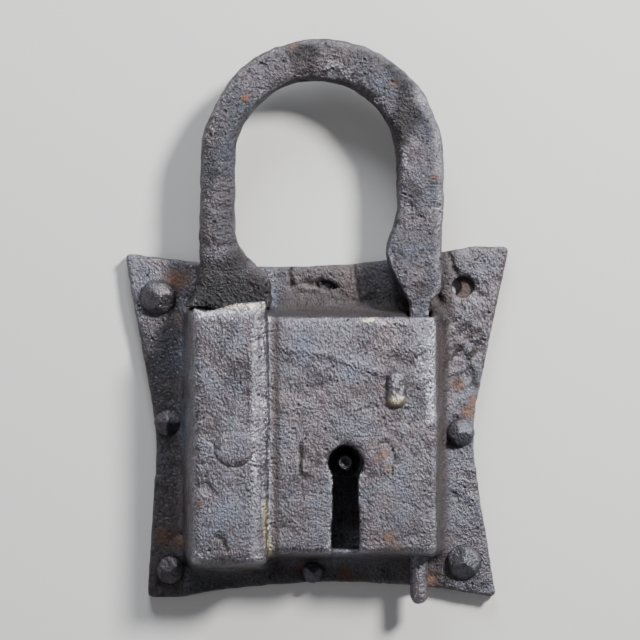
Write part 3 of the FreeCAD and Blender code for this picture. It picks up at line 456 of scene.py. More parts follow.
def old_iron(name, tone=1.0, haze=0.5, streak=(1, 1, 1), relief=0.42, painted_highlight=0.0):
    iron = Finish(name)
    worn_and_lit, recess, bloom = iron.mark("wear_and_highlight") + painted_highlight, iron.mark("recess"), iron.mark("bloom")
    grime_and_shade, chalk_and_highlight = iron.mark("grime_and_shade"), iron.mark("chalk_and_highlight")
    streaked = iron.stretched(streak)
    broad = iron.noise(24, 3.0, 0.6)
    cloud = iron.noise(13, 4.0, 0.6, iron.stretched((1, 1, 0.9)))
    patchy = iron.noise(5, 5.0, 0.65)
    lumps = iron.noise(2.4, 3.0, 0.6)
    grain = iron.noise(0.6, 3.0, 0.66, streaked)
    peel = 1.0 - iron.cells(0.8, streaked)
    pits = iron.cells(3.1)

    high = grain * 0.9 + peel * 0.36 + lumps * 0.26 - 0.32
    skin = iron.mix(DARK, MIDDLE, (broad * 1.0 + patchy * 0.4 + high * 0.3).between(0.5, 1.0))
    skin = iron.mix(skin, PLUM, (1.0 - cloud + patchy * 0.4).between(0.62, 0.95) * 0.6)
    skin = iron.mix(skin, BLUE, (cloud + patchy * 0.35).between(0.64, 0.9) * 0.8)
    skin = iron.mix(skin, PALE, (high + patchy * 0.5).between(0.6, 1.1) * 0.4)
    skin = iron.mix(skin, DARK, (1.1 - patchy - cloud * 0.25).between(0.42, 0.75) * 0.4)
    # paler metal on worn edges and on painted highlights
    skin = iron.mix(skin, PALE, (worn_and_lit * (0.45 + high * 1.0)).between(0.2, 0.85) * 0.95)

    dry = 1.0 - worn_and_lit * 0.8
    rust = (broad * 0.5 + patchy * 0.6 + recess * 0.5 - cloud * 0.25).between(0.72 - 0.25 * haze, 1.05) * dry
    rust = rust.larger((bloom * (0.3 + patchy * 1.1 + lumps * 0.3)).between(0.12, 0.85))
    powder = (bloom * (patchy * 0.9 + grain * 0.55 + lumps * 0.45)).between(0.42, 1.05)
    specks = (1.0 - iron.cells(3.7)).between(0.80, 0.92) * (patchy + cloud * 0.5).between(0.7, 0.9)
    powder = powder.larger(specks * 0.6)
    skin = iron.mix(skin, BROWN, rust * 0.7)
    skin = iron.mix(skin, ORANGE, powder * 0.75)
    # pale tan on scrapes and on painted highlights
    skin = iron.mix(skin, TAN, (chalk_and_highlight * (0.25 + grain * 0.8 + lumps * 0.5)).between(0.4, 0.8) * 0.9)
    skin = iron.mix(skin, SOOT_AND_SHADE, (1.0 - high).between(0.55, 0.95) * 0.6)
    skin = iron.mix(skin, SOOT_AND_SHADE, (recess * (0.45 + patchy)).between(0.2, 0.95) * 0.85)
    # dark colour for dirt and for painted shade
    skin = iron.mix(skin, SOOT_AND_SHADE, (grime_and_shade * (0.75 + patchy * 0.5)).between(0.0, 1.1) * 0.9)
    skin = iron.mix(skin, SOOT_AND_SHADE, (1.0 - pits).between(0.84, 0.96) * 0.6)
    if tone < 1:
        skin = iron.mix(skin, SOOT_AND_SHADE, 1 - tone)

    coarse = (cloud * 0.7 + patchy * 0.5).between(0.42, 0.74)
    height = high * (coarse * 0.75 + 0.4) + pits.between(0.0, 0.22) * 0.5 + patchy * 0.45
    roughness = 0.27 + grain * 0.22 - worn_and_lit * 0.12 + rust * 0.3 + powder * 0.2 + grime_and_shade * 0.1
    metal = 0.7 - rust * 0.4 - powder * 0.15 + worn_and_lit * 0.3
    bump = iron.bump(height, relief)
    return iron.set(Base_Color=skin, Roughness=roughness, Metallic=metal, Normal=bump, Specular_IOR_Level=0.7)


FINISHES = {
    "casing": old_iron("casing_iron", 1.0, 0.5, (1.15, 0.85, 1.0), 0.6),
    "plate": old_iron("plate_iron", 0.85, 0.7),
    "shackle": old_iron("shackle_iron", 0.86, 0.3, (0.9, 0.9, 0.9), 1.1),
    "rivet": old_iron("rivet_iron", 0.5, 0.0, (1, 1, 1), 0.35),
    "work": old_iron("lock_work_iron", 0.8, 1.0, (1, 1, 1), 0.3),
    # the round ward is painted paler all over as a painted highlight
    "ward": old_iron("ward_iron", 1.0, 0.6, (1, 1, 1), 0.3, painted_highlight=0.75),
}
print("finishes:", ", ".join(FINISHES))

# %% [markdown]
# ## The casing
#
# One sheet, raised hot over a stake into a box and a taller column. The column's right side is beaten into
# a long bevel, the corners are soft, and the foot of each wall runs out into the flange in a cove. The
# walls are given here as distances from the key's axis.

# %% where the casing's walls stand
COLUMN_LEFT, COLUMN_RIGHT = KEY_X - 44.3, KEY_X - 19.1
COLUMN_LOW, COLUMN_LIP = KEY_Y - 30.2, KEY_Y + 43.2
BOX_RIGHT, BOX_LOW, BOX_HIGH = KEY_X + 27.2, KEY_Y - 27.0, KEY_Y + 42.1


def outside_walls(points):
    """How far each point stands outside the walls of box and column, in plan."""
    x, y = points[:, 0], points[:, 1]
    box = np.maximum.reduce([COLUMN_LEFT - x, x - BOX_RIGHT, BOX_LOW - y, y - BOX_HIGH])
    column = np.maximum.reduce([COLUMN_LEFT - x, x - COLUMN_RIGHT, COLUMN_LOW - y, y - COLUMN_LIP])
    return np.minimum(box, column)


# %% [markdown]
# The ends of the bolt's guide, of the bridge and of the column's lower rivet come through the sheet. They
# were hammered down and have rusted in, so no gap shows round them. A box closes each of those holes before
# the skin is laid. Then the skin is worn round at its edges, and more in the cove at the foot of the walls.

# %% boxes that close the holes
FIT = 0.35


def plugs_over(node, face):
    """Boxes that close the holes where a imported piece's ends come through the sheet below a face."""
    points = np.array([vertex.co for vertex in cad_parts[node].data.vertices]) / MM
    tops = points[points[:, 2] > points[:, 2].max() - 0.1]
    for end in (tops[tops[:, 0] > KEY_X], tops[tops[:, 0] <= KEY_X]):
        if len(end):
            low, high = end.min(0) - FIT, end.max(0) + FIT
            low[2], high[2] = face - SHEET + 0.2, face
            yield low, high


closed = [*plugs_over("ward_bridge", BOX_FACE), *plugs_over("bolt_guide", BOX_FACE),
          *plugs_over("foot_guide_rivet", COLUMN_FACE)]
print(len(closed), "holes are closed")

# %% the casing's form
casing = Skin("front_casing", "casing", 0.58, closed)
casing.smooth(14)
over = ease(casing.points[:, 2], FLANGE_TOP - 0.9, FLANGE_TOP - 0.1)
low_down = ease(casing.points[:, 2], FLANGE_TOP + 5.5, FLANGE_TOP + 2.5)
at_foot = over * low_down * ease(outside_walls(casing.points), 5.0, 2.5)
casing.smooth(46, 0.5 * at_foot)

# %% [markdown]
# The lip over the shackle's foot is not straight: it dips behind its left corner and rises to the right one.
# The column's right edge is beaten out over the box and down into a long bevel. Wear shows on the walls and
# not on the thin rim of the flange, which nothing rubs.

# %% the lip and the column's face
x, y, z = casing.points.T
near_lip = ease(y, COLUMN_LIP - 7, COLUMN_LIP - 0.5) * ease(z, COLUMN_FACE - 7, COLUMN_FACE - 2)
scallop = -1.9 * on_spot(casing.points, (KEY_X - 36.5, COLUMN_LIP), 5.5, (1, 3))
scallop += 1.0 * on_spot(casing.points, (COLUMN_RIGHT - 2.0, COLUMN_LIP), 4.5, (1, 3))
casing.points[:, 1] += scallop * near_lip

WALL_LEAN = math.radians(10)
BEVEL = 1.5
edge_x = COLUMN_RIGHT - (COLUMN_FACE - PLATE_TOP) * math.tan(WALL_LEAN)
by_edge = ease(x, edge_x - 6, edge_x - 1) * ease(x, edge_x + 4, edge_x + 2)
raised = ease(z, BOX_FACE - 0.2, BOX_FACE + 1.2) * by_edge
casing.points[:, 0] += BEVEL * raised
casing.points[:, 2] -= BEVEL * raised * ease(casing.points[:, 0], edge_x - 2.6, edge_x + 1.8)
casing.smooth(4, 0.5 * raised)
casing.weigh(26, 0.5)
casing.marks["wear_and_highlight"] *= 1 - 0.85 * ease(outside_walls(casing.points), 1.0, 3.0)

# %% [markdown]
# The hammer's marks go along the normals. Near the back of the sheet they fade, so that the casing still
# lies on its plate. The flange is rougher than the faces of box and column. The keyhole was chiselled and
# filed, so its edge wanders in plan.

# %% the casing's hammer marks
outside = ease(casing.points[:, 2], PLATE_TOP + 0.2, PLATE_TOP + 1.4)
outside = outside * ease(casing.normals()[:, 2], -0.5, 0.1)
blows = 0.42 * forge_noise(casing.points, 15, 3) + 0.20 * forge_noise(casing.points, 6.5, 4)
on_flange = ease(casing.points[:, 2], FLANGE_TOP + 3.5, FLANGE_TOP + 1.0)
scale = (0.09 + 0.08 * on_flange) * forge_noise(casing.points, 2.6, 5)
pitting = -(0.24 + 0.24 * on_flange) * ease(forge_noise(casing.points, 3.4, 6), 0.30, 0.62)
casing.push((blows + scale + pitting) * outside)
near_keyhole = on_line(casing.points, from_key((0, 2), (0, -24)), 5.0)
near_keyhole = near_keyhole * ease(casing.points[:, 2], BOX_FACE - 3, BOX_FACE - 1)
casing.points[:, 0] += 0.55 * forge_noise(casing.points, 3.0, 21) * near_keyhole
casing.points[:, 1] += 0.40 * forge_noise(casing.points, 3.0, 22) * near_keyhole

# %% [markdown]
# A crack is a narrow groove full of dirt. A crease is a low ridge that has been rubbed bright, left where
# the sheet was folded over a stake edge. The outlines of the bridge's two tenons, beside the keyhole, and
# the scar of the lower rivet are made of both. Each row gives the stops, the width and the depth or height.

# %% cracks and creases in the casing
CRACKS = [
    (from_key((-14.6, 55.2), (-14.9, 51.2), (-14.2, 47.6)), 0.45, 0.9),
    (from_key((2.0, 56.0), (3.2, 49.4), (4.4, 43.6)), 0.40, 0.7),
    (from_key((28.4, 57.5), (29.3, 53.9), (30.6, 50.6)), 0.45, 1.1),
    (from_key((-35.0, 5.6), (-34.4, 2.1), (-31.6, -0.4), (-28.4, -0.2)), 0.42, 0.6),
    (from_key((-34.8, -19.2), (-32.6, -20.6), (-31.5, -23.4)), 0.5, 0.6),
    (from_key((25.2, 45.6), (25.9, 43.9)), 0.9, 1.5),
    (from_key((-7.6, 48.3), (-2.6, 47.5)), 0.62, 1.9),
    (from_key((-12.1, 4.9), (-12.0, -3.2)), 0.4, 0.5),
    (from_key((8.6, 5.4), (11.6, 5.8), (13.2, 2.6), (12.6, -3.0)), 0.3, 0.25),
]
for stops, width, depth in CRACKS:
    line = on_line(casing.points + 0.5 * forge_noise(casing.points, 2.0, 31)[:, None], stops, width)
    casing.push(-depth * line * outside)
    casing.mark("recess", 1.3 * line)
    casing.mark("grime_and_shade", 0.8 * line)

CREASES = [
    (from_key((-17.0, 30.8), (-10.0, 30.2), (-4.1, 29.0), (5.0, 25.6), (9.8, 24.2)), 1.1, 0.36),
    (from_key((15.5, 16.0), (20.5, 13.6), (25.5, 12.0)), 0.9, 0.15),
    (from_key((-33.6, -20.4), (-31.9, -21.6), (-31.0, -24.0)), 0.6, 0.35),
    (from_key((-10.9, 4.2), (-10.8, -2.6)), 0.8, 0.3),
    (from_key((10.4, 4.0), (10.9, -2.0)), 1.4, 0.25),
]
for stops, width, height in CREASES:
    line = on_line(casing.points, stops, width)
    casing.push(height * line * outside)
    casing.mark("wear_and_highlight", 0.5 * line)

# %% [markdown]
# The column's sheet swells round its upper rivet. Beside the tear above the box, and on the right of the
# flange, rust has lifted the sheet in flakes: deeper, sharper noise than elsewhere. The foot of
# the column is ragged too.

# %% the swelling over the column's rivet
swelling = on_spot(casing.points, from_key((-30.6, 5.4))[0], 3.9, (0.95, 1.45))
casing.push(0.75 * swelling * outside)
casing.mark("bloom", 0.35 * swelling)

# %% flaked metal
flaked = on_spot(casing.points, from_key((33.6, 27.0))[0], 7.5, (0.8, 1.5))
flaked = flaked + 0.6 * on_spot(casing.points, from_key((-5.0, 46.5))[0], 3.4, (3.0, 1.0))
flaked = flaked * (outside_walls(casing.points) > 0.5)
crumbled = 0.85 * forge_noise(casing.points, 3.0, 7) + 0.5 * forge_noise(casing.points, 1.5, 8)
casing.push(flaked * outside * (crumbled - 0.25))
casing.mark("recess", 1.2 * flaked * ease(forge_noise(casing.points, 2.6, 9), -0.1, 0.4))
FLAKES = [
    from_key((-16.5, 47.4), (-11.0, 48.8), (-6.0, 47.4), (-1.0, 45.4), (3.5, 43.4)),
    from_key((-13.0, 46.2), (-8.0, 45.6), (-3.0, 44.0), (1.0, 43.0)),
    from_key((1.2, 54.5), (1.8, 50.0), (0.4, 47.2)),
]
for stops in FLAKES:
    line = on_line(casing.points + 0.4 * forge_noise(casing.points, 3.0, 32)[:, None], stops, 0.4)
    casing.push(-0.32 * line * outside)
    casing.mark("grime_and_shade", 0.8 * line)
    casing.mark("bloom", 0.55 * on_line(casing.points, stops, 1.6))

foot_y = COLUMN_LOW + 2.5
foot_band = on_line(casing.points, [(COLUMN_LEFT, foot_y), (COLUMN_RIGHT, foot_y)], 2.6)
casing.push(0.4 * foot_band * outside * forge_noise(casing.points, 2.2, 10))
# painted shade, with dirt, along the column's foot, which faces away from the key light
casing.mark("grime_and_shade", 0.75 * foot_band)

# %% [markdown]
# Worn metal, rust, dirt and scrapes each have their places. The lip and the right-hand edges face the key
# light
# and are painted paler: partly polish from the shackle and the owner's hand, partly painted highlight. The
# left
# and the bottom are painted darker: painted shade, with some dirt where nothing rubs.

# %% where the casing is worn, and where highlights are painted on its edges
# Lip, column bevel, and the box's right and top edges: wear together with painted highlight.
HIGHLIGHT_AND_WEAR_LINES = [
    ([(COLUMN_LEFT + 2.0, COLUMN_LIP - 1.8), (COLUMN_RIGHT - 1.5, COLUMN_LIP - 1.4)], 3.4, 1.0),
    (from_key((-21.4, 42.0), (-21.2, 5.0), (-20.6, -27.0)), 1.7, 1.0),
    (from_key((23.2, 38.5), (23.6, 12.0)), 2.2, 1.0),
    (from_key((20.6, 36.5), (21.4, 24.0)), 4.2, 0.62),
    (from_key((-18.0, 37.4), (22.0, 37.6)), 1.2, 0.45),
    (from_key((23.6, 14.0), (24.0, -26.0)), 1.3, 0.4),
]
for stops, width, strength in HIGHLIGHT_AND_WEAR_LINES:
    high_up = ease(casing.points[:, 2], FLANGE_TOP + 6, FLANGE_TOP + 10)
    casing.mark("wear_and_highlight", strength * on_line(casing.points, stops, width) * high_up)

RUST_SPOTS = [
    ((-45.8, 49.3), 4.2, 0.95), ((-45.4, 38.6), 3.0, 0.6), ((33.5, 13.6), 2.6, 1.0), ((35.2, 16.4), 2.2, 0.9),
    ((-12.2, -29.7), 3.2, 0.85), ((0.0, -31.0), 3.4, 1.0), ((5.0, -31.8), 2.4, 0.7),
    ((23.2, -32.0), 3.2, 1.0),
    ((-49.0, -20.7), 4.0, 0.95), ((-45.6, -22.0), 3.2, 0.9), ((-51.0, -27.5), 2.6, 0.6),
    ((30.8, 21.0), 2.6, 0.9), ((22.8, 43.2), 3.6, 0.55), ((-1.0, 45.4), 3.4, 0.6), ((28.6, -21.0), 3.0, 0.55),
    ((8.6, 1.0), 2.4, 0.6), ((7.2, 5.4), 2.0, 0.55), ((10.6, 2.6), 2.2, 0.75), ((11.4, -1.6), 2.0, 0.7),
    ((12.0, -9.9), 5.0, 0.45), ((11.7, -19.8), 2.2, 0.95), ((-38.8, -10.2), 0.8, 1.2),
    ((14.0, -22.5), 2.0, 0.7),
    ((-3.4, 43.5), 3.0, 0.5), ((10.0, 42.6), 3.2, 0.6), ((26.6, 33.0), 2.2, 0.5), ((-14.0, 12.0), 3.0, 0.4),
    ((3.0, 20.0), 4.5, 0.35), ((29.5, 5.0), 2.6, 0.5), ((-40.5, 44.0), 2.5, 0.5),
]
for place, radius, strength in RUST_SPOTS:
    casing.mark("bloom", strength * on_spot(casing.points, from_key(place)[0], radius))

RUST_LINES = [
    (from_key((-18.9, 38.0), (-18.8, -26.5)), 1.9, 0.5),
    (from_key((26.2, 36.0), (26.6, -26.0)), 2.2, 0.55),
    (from_key((-17.0, 41.4), (24.0, 41.4)), 2.0, 0.55),
    (from_key((-18.0, -28.4), (26.0, -28.4)), 1.4, 0.45),
]
for stops, width, strength in RUST_LINES:
    casing.mark("bloom", strength * on_line(casing.points, stops, width))

# %% painted shade and dirt on the flange, and round the rivet heads
x, y, z = casing.points.T
far_left = ease(x, COLUMN_LEFT + 0.5, COLUMN_LEFT - 2.0) * ease(y, KEY_Y + 42, KEY_Y + 34)
below_box = ease(y, BOX_LOW + 0.5, BOX_LOW - 3.0)
# painted shade, with some dirt, on the flange left of the column and below the box
casing.mark("grime_and_shade", 0.62 * on_flange * far_left)
casing.mark("grime_and_shade", 0.72 * on_flange * below_box * ease(x, BOX_RIGHT - 8, KEY_X - 6))
casing.mark("grime_and_shade", 0.35 * on_flange * below_box)
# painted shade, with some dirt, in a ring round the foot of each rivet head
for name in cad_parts:
    if name.endswith("_rivet") and "guide" not in name:
        radius = (side_of(name, 0, 1) - side_of(name, 0, 0)) / 2
        ring = on_spot(casing.points, middle_of(name)[:2], radius + 0.8)
        casing.mark("grime_and_shade", 0.7 * ring * on_flange)

# %% [markdown]
# Painted shade, with dirt, darkens the steep walls that face up and to the right, and the casing is painted
# darker towards the bottom, the column most, as painted shade. Dirt darkens the valley between column and
# box.
# Above and beside the box it is thick and brown with rust, with painted shade on the box's top wall.

# %% painted shade and dirt on the walls and faces
normal = casing.normals()
on_wall = ease(z, FLANGE_TOP + 0.5, FLANGE_TOP + 3.0) * ease(z, BOX_FACE + 2.5, BOX_FACE)
steep = ease(normal[:, 2], 0.75, 0.35) * on_wall
# painted shade, with dirt, on the steep walls that face up and to the right
casing.mark("grime_and_shade", 0.66 * steep * ease(normal[:, 1] + normal[:, 0], -0.4, 0.5))
casing.mark("grime_and_shade", 0.72 * on_line(casing.points, from_key((-18.3, 39.0), (-18.3, -26.5)), 1.0))
# painted shade: the column, then the whole casing, darker towards the bottom
casing.mark("grime_and_shade", 0.40 * ease(y, KEY_Y - 2, KEY_Y - 22) * ease(x, COLUMN_RIGHT - 1, COLUMN_RIGHT - 5))
casing.mark("grime_and_shade", 0.40 * ease(y, KEY_Y + 2, KEY_Y - 22))

below_face = ease(z, BOX_FACE - 0.5, BOX_FACE - 2.5)
over_box = ease(x, COLUMN_RIGHT - 1, COLUMN_RIGHT + 1) * ease(x, BOX_RIGHT + 4, BOX_RIGHT + 1)
above_box = below_face * over_box * ease(y, BOX_HIGH - 4.5, BOX_HIGH - 2.5)
beside_box = below_face * ease(x, BOX_RIGHT - 4.5, BOX_RIGHT - 2.5) * ease(x, BOX_RIGHT + 3, BOX_RIGHT)
# rust crust above the box, with painted shade on the box's top wall
casing.mark("grime_and_shade", (0.40 + 0.38 * ease(y, BOX_HIGH + 5.5, BOX_HIGH + 1.5)) * above_box)
casing.mark("bloom", 0.42 * above_box)
casing.mark("grime_and_shade", 0.62 * beside_box)
casing.mark("grime_and_shade", 0.30 * ease(forge_noise(casing.points, 12, 19), 0.15, 0.55))

# %% where the casing is scraped or given painted highlights, and its finish
# Pale tan scrapes; on the lip and the column's right bevel they are also painted highlights.
SCRAPES_AND_HIGHLIGHTS = [
    ([(COLUMN_LEFT + 2.0, COLUMN_LIP - 1.6), (COLUMN_RIGHT - 2.0, COLUMN_LIP - 1.0)], 1.1, 0.8),
    (from_key((5.2, 38.2), (7.4, 38.6)), 0.8, 1.0),
    (from_key((-21.6, -10.6), (-21.2, -18.0), (-20.6, -24.2)), 1.3, 1.1),
    (from_key((-34.0, -20.6), (-32.4, -22.4)), 0.5, 0.6),
]
for stops, width, strength in SCRAPES_AND_HIGHLIGHTS:
    casing.mark("chalk_and_highlight", strength * on_line(casing.points, stops, width))
casing.finish("casing", "case", "casing_iron")

# %% [markdown]
# ## The shackle
#
# A square bar drawn out, bent hot and dressed with the hammer. Its edges have gone round, its faces are
# slightly hollow, and its outside is polished by a century of hands, with a painted highlight along the outer
# right edge and painted shade on its left side, on its sides and on its foot under the lip. The shank and
# the toe run in the lock, so they keep their true size.

# %% the shackle's form
shackle = Skin("shackle", "shackle_bar", 0.55)
above = ease(shackle.points[:, 1], COLUMN_LIP - 0.5, COLUMN_LIP + 3.0)
above = np.maximum(above, 0.15 * ease(shackle.points[:, 1], COLUMN_LIP - 3.0, COLUMN_LIP - 0.5))
shackle.smooth(34, 0.08 + 0.47 * above)
shackle.weigh(30, 0.5)

# %% the shackle's hammer marks
blows = 0.55 * forge_noise(shackle.points, 15, 11) + 0.30 * forge_noise(shackle.points, 6.0, 12)
scale = 0.20 * forge_noise(shackle.points, 2.6, 13) + 0.10 * forge_noise(shackle.points, 1.5, 18)
pitting = -0.60 * ease(forge_noise(shackle.points, 3.4, 14), 0.22, 0.6)
shackle.push((blows + scale + pitting) * (0.03 + 0.97 * above))

# %% where the shackle is worn, rusted and dirty, and where highlight and shade are painted on it
BOW_Y = KEY_Y + 81.5
# painted highlight along the outer right edge, which faces the key light, with polish from hands
shackle.mark("wear_and_highlight", 0.85 * on_line(shackle.points, from_key(
    (6.0, 112.6), (14.0, 106.6), (21.4, 97.5), (25.2, 87.0), (26.0, 72.0), (26.0, 56.0)), 2.2))
# paler patches on the faces turned up to the lamps: wear together with painted highlight
facing_up = ease(shackle.normals()[:, 2], 0.5, 0.9)
shackle.mark("wear_and_highlight", 0.55 * ease(forge_noise(shackle.points, 7, 20), 0.1, 0.5) * facing_up * above)
SHACKLE_RUST = [
    ((-27.0, 98.1), 1.6, 1.1), ((13.4, 102.1), 2.2, 0.8), ((24.1, 76.8), 1.4, 0.9),
    ((-14.3, 112.3), 2.6, 0.7), ((20.5, 47.5), 3.0, 0.5), ((-25.0, 50.5), 3.5, 0.45),
]
for place, radius, strength in SHACKLE_RUST:
    shackle.mark("bloom", strength * on_spot(shackle.points, from_key(place)[0], radius))
x, y, z = shackle.points.T
# painted shade on the left side of the bow
shackle.mark("grime_and_shade", 0.42 * ease(x, KEY_X - 14, KEY_X - 30) * ease(y, BOW_Y + 26, BOW_Y))
# painted shade on the foot where it goes under the lip
shackle.mark("grime_and_shade", 0.85 * ease(y, COLUMN_LIP + 12, COLUMN_LIP + 5) * ease(x, KEY_X - 10, KEY_X - 15))
shackle.mark("grime_and_shade", 0.75 * ease(forge_noise(shackle.points, 9, 17), -0.05, 0.4) * above)
# painted shade on the sides that turn away from the camera and the lamps
shackle.mark("grime_and_shade", 0.70 * ease(shackle.normals()[:, 2], 0.8, 0.35) * above)
shackle.finish("shackle", "shackle", "shackle_iron")

# %% [markdown]
# ## The back plate
#
# Flat sheet, seen only at its rim and through the holes, and whole from behind.

# %% the back plate
plate = Skin("back_plate", "plate", 0.7)
plate.smooth(4)
plate.weigh(20, 0.5)
plate.marks["wear_and_highlight"] *= 0.2
inside_rim = ease(plate.points[:, 2], PLATE_TOP - 0.3, PLATE_TOP - 0.9) * ease(plate.points[:, 2], -0.1, 0.25)
plate.push(0.2 * forge_noise(plate.points, 5, 15) * inside_rim)
plate.mark("bloom", 0.8 * ease(forge_noise(plate.points, 16, 16), 0.15, 0.55))
plate.mark("bloom", 0.75 * on_spot(plate.points, from_key((31.4, 47.4))[0], 6.0))
plate.mark("grime_and_shade", 0.45 * on_spot(plate.points, from_key((31.4, 47.4))[0], 6.0))
plate.finish("plate", "case", "plate_iron")

# %% [markdown]
# ## Rivets
#
# Each head was closed with a few blows, so it is a dome with flats. A flat is made by bringing every point
# beyond a tilted plane back onto it. The tilt and turn of the blows differ from rivet to rivet.

# %% a blow on a rivet head


def strike(points, centre, turn, tilt, depth):
    """Flatten the head where it stands beyond a plane, turn and tilt in degrees, depth in millimetres."""
    turn, tilt = math.radians(turn), math.radians(tilt)
    aim = np.array([math.sin(tilt) * math.cos(turn), math.sin(tilt) * math.sin(turn), math.cos(tilt)])
    reach = (points - centre) @ aim
    beyond = np.maximum(reach - (reach.max() - depth), 0)
    return points - aim * beyond[:, None] * 0.9


# %% rivets
RIVET_VOXEL = 0.36
BLOWS = {
    "top_left_rivet": [(200, 20, 0.5), (330, 34, 0.6)],
    "side_left_rivet": [(45, 38, 1.0), (135, 38, 1.0), (225, 38, 1.0), (315, 38, 1.0)],
    "bottom_left_rivet": [(120, 30, 0.6), (250, 36, 0.5)],
    "bottom_middle_rivet": [(90, 36, 1.0), (200, 40, 1.1), (330, 38, 1.0)],
    "bottom_right_rivet": [(20, 26, 0.6), (140, 32, 0.8), (260, 34, 0.8)],
    "side_right_rivet": [(60, 34, 0.9), (150, 30, 0.7), (300, 36, 0.9)],
}
for seed, (name, blows) in enumerate(BLOWS.items()):
    rivet = Skin(name, name + "_head", RIVET_VOXEL)
    rivet.smooth(2)
    for turn, tilt, depth in blows:
        rivet.points = strike(rivet.points, middle_of(name), turn, tilt, depth)
    rivet.smooth(2)
    rivet.weigh(16, 0.4)
    proud = ease(rivet.points[:, 2], FLANGE_TOP - 0.3, FLANGE_TOP + 0.8)
    dents = 0.22 * forge_noise(rivet.points, 3.2, 40 + seed) + 0.08 * forge_noise(rivet.points, 1.2, 50)
    rivet.push(proud * dents)
    # painted shade, with dirt, on the lower sides of each head
    rivet.mark("grime_and_shade", 0.5 * ease(rivet.points[:, 2], FLANGE_TOP + 1.4, FLANGE_TOP + 0.2))
    rivet.finish("rivet", "case", "rivet_iron")

# %% [markdown]
# The ends of two rivets, of the bolt's guide and of the bridge come through the casing. The upper rivet of
# the column and the guide's tenon are swollen and domed over their holes. The bridge's tenons and the
# column's lower rivet were filed flush and have rusted in, so they end just below the skin. All have the
# casing's finish, because they were hammered and oiled with it.

# %% what comes through the casing's face
STUB_VOXEL = 0.34
SUNK_RIM = 0.35


def peen(stub, face, proud, over, flat):
    """Spread a stub's head over its hole, dome it, and sink its rim into the casing.

    flat is how far out the top stays flat, from 0 to 1."""
    above_face = ease(stub.points[:, 2], face - 0.7, face - 0.2)
    head = above_face > 0
    plan = stub.points[head, :2]
    middle, half = (plan.max(0) + plan.min(0)) / 2, (plan.max(0) - plan.min(0)) / 2
    radius, straight = half.min(), half - half.min()
    past = (np.abs(plan - middle) - straight).clip(0)
    reach = np.linalg.norm(past, axis=1)
    rounded = past * (np.minimum(reach, radius) / reach.clip(0.01))[:, None]
    outline = np.sign(plan - middle) * (np.minimum(np.abs(plan - middle), straight) + rounded)
    rim = ease(reach / radius, flat, 1.0)
    stub.points[head, :2] += (outline * (1 + over / half) + middle - plan) * above_face[head, None]
    stub.points[head, 2] += (proud - (proud + SUNK_RIM) * rim) * above_face[head]
    stub.smooth(4, 0.5 * above_face)


HEADS = {
    "shank_guide_rivet": (COLUMN_FACE, 0.7, 0.9, 0.25),
    "foot_guide_rivet": (COLUMN_FACE, -1.0, 0, 1),
    "bolt_guide": (BOX_FACE, 1.2, 0.65, 0.6),
    "ward_bridge": (BOX_FACE, -1.0, 0, 1),
}
for seed, (name, (face, proud, over, flat)) in enumerate(HEADS.items()):
    stub = Skin(name, name + "_skin", STUB_VOXEL)
    stub.smooth(3, 0.5)
    if proud > 0:
        peen(stub, face, proud, over, flat)
    else:
        stub.points[:, 2] += proud * ease(stub.points[:, 2], face - 1.6, face - 0.6)
    stub.weigh(16, 0.6)
    stub.push(0.12 * forge_noise(stub.points, 2.0, 60 + seed) + 0.05 * forge_noise(stub.points, 0.9, 70))
    if name == "bolt_guide":
        at_top = ease(stub.points[:, 2], face - 0.1, face + 0.4)
        stub.mark("chalk_and_highlight", at_top * ease(stub.points[:, 1], KEY_Y + 18.6, KEY_Y + 17.4))
        stub.mark("wear_and_highlight", 0.55 * at_top)
    stub.finish("casing", "case", "lock_iron" if name == "ward_bridge" else "rivet_iron")

# %% [markdown]
# A small peg hangs under the bottom edge. It has the same skin as the stubs.

# %% the bottom peg
peg = Skin("bottom_peg", "bottom_peg_skin", STUB_VOXEL)
peg.smooth(3, 0.5)
peg.weigh(16, 0.6)
peg.push(0.16 * forge_noise(peg.points, 2.2, 64))
peg.finish("casing", "case", "rivet_iron")

# %% [markdown]
# The lock's work inside stays as it was packed. The round ward has a finish of its own, painted paler all
# over as a painted highlight, because it shows through the keyhole.

# %% the imported pieces that stay
for name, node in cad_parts.items():
    for index in range(len(node.data.materials)):
        node.data.materials[index] = FINISHES["ward" if name == "round_ward" else "work"]
print("kept pieces take the finish of the lock's work")

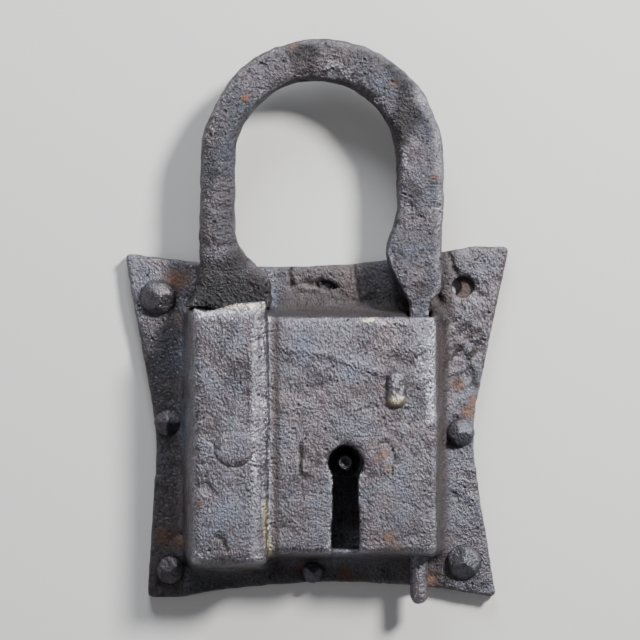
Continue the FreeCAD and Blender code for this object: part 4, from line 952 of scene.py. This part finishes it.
# %% [markdown]
# ## Table, light and camera
#
# A pale table, a key light from the upper right, as from a high window, and weak fill, so that the relief
# and the shadows along the left and bottom stay deep.

# %% table
TABLE_HALF = 3.0
TABLE_DROP = 0.0002
table_mesh = bpy.data.meshes.new("table")
shape = bmesh.new()
bmesh.ops.create_grid(shape, x_segments=1, y_segments=1, size=TABLE_HALF)
bmesh.ops.translate(shape, verts=shape.verts, vec=(0, 0, -TABLE_DROP))
shape.to_mesh(table_mesh)
shape.free()
table = bpy.data.objects.new("table", table_mesh)
bpy.context.scene.collection.objects.link(table)
table_mesh.materials.append(Finish("table_grey").set(Base_Color=colour(0.62, 0.61, 0.60), Roughness=0.8))

# %% lights
MIDDLE_POINT = Vector((0.0, 0.028, 0.01))


def soft_light(name, place, size, power, tint=(1, 1, 1)):
    lamp = bpy.data.lights.new(name, "AREA")
    lamp.shape = "DISK"
    lamp.size, lamp.energy, lamp.color = size, power, tint
    holder = bpy.data.objects.new(name, lamp)
    holder.location = place
    holder.rotation_euler = (MIDDLE_POINT - Vector(place)).to_track_quat("-Z", "Y").to_euler()
    bpy.context.scene.collection.objects.link(holder)


soft_light("key_light", (0.48, 0.48, 0.56), 0.18, 17.0, (1, 0.99, 0.97))
soft_light("top_light", (-0.10, 0.75, 0.40), 0.35, 6.0, (0.92, 0.96, 1))
soft_light("fill_light", (-0.6, -0.25, 0.6), 0.7, 1.4)
world = bpy.data.worlds.new("studio")
world.use_nodes = True
world.node_tree.nodes["Background"].inputs["Color"].default_value = (0.9, 0.92, 1.0, 1)
world.node_tree.nodes["Background"].inputs["Strength"].default_value = 0.16
bpy.context.scene.world = world

# %% camera
FIELD = 0.1728
DISTANCE = 0.9
LOOKED_AT = Vector((0.0005, 0.0284, 0.012))
camera_data = bpy.data.cameras.new("camera")
camera_data.sensor_width = 36
camera_data.lens = camera_data.sensor_width * DISTANCE / FIELD
camera = bpy.data.objects.new("camera", camera_data)
camera.location = LOOKED_AT + Vector((0, 0, DISTANCE))
bpy.context.scene.collection.objects.link(camera)
bpy.context.scene.camera = camera

# %% sizes
print("CAD box in metres", cad_bounds)
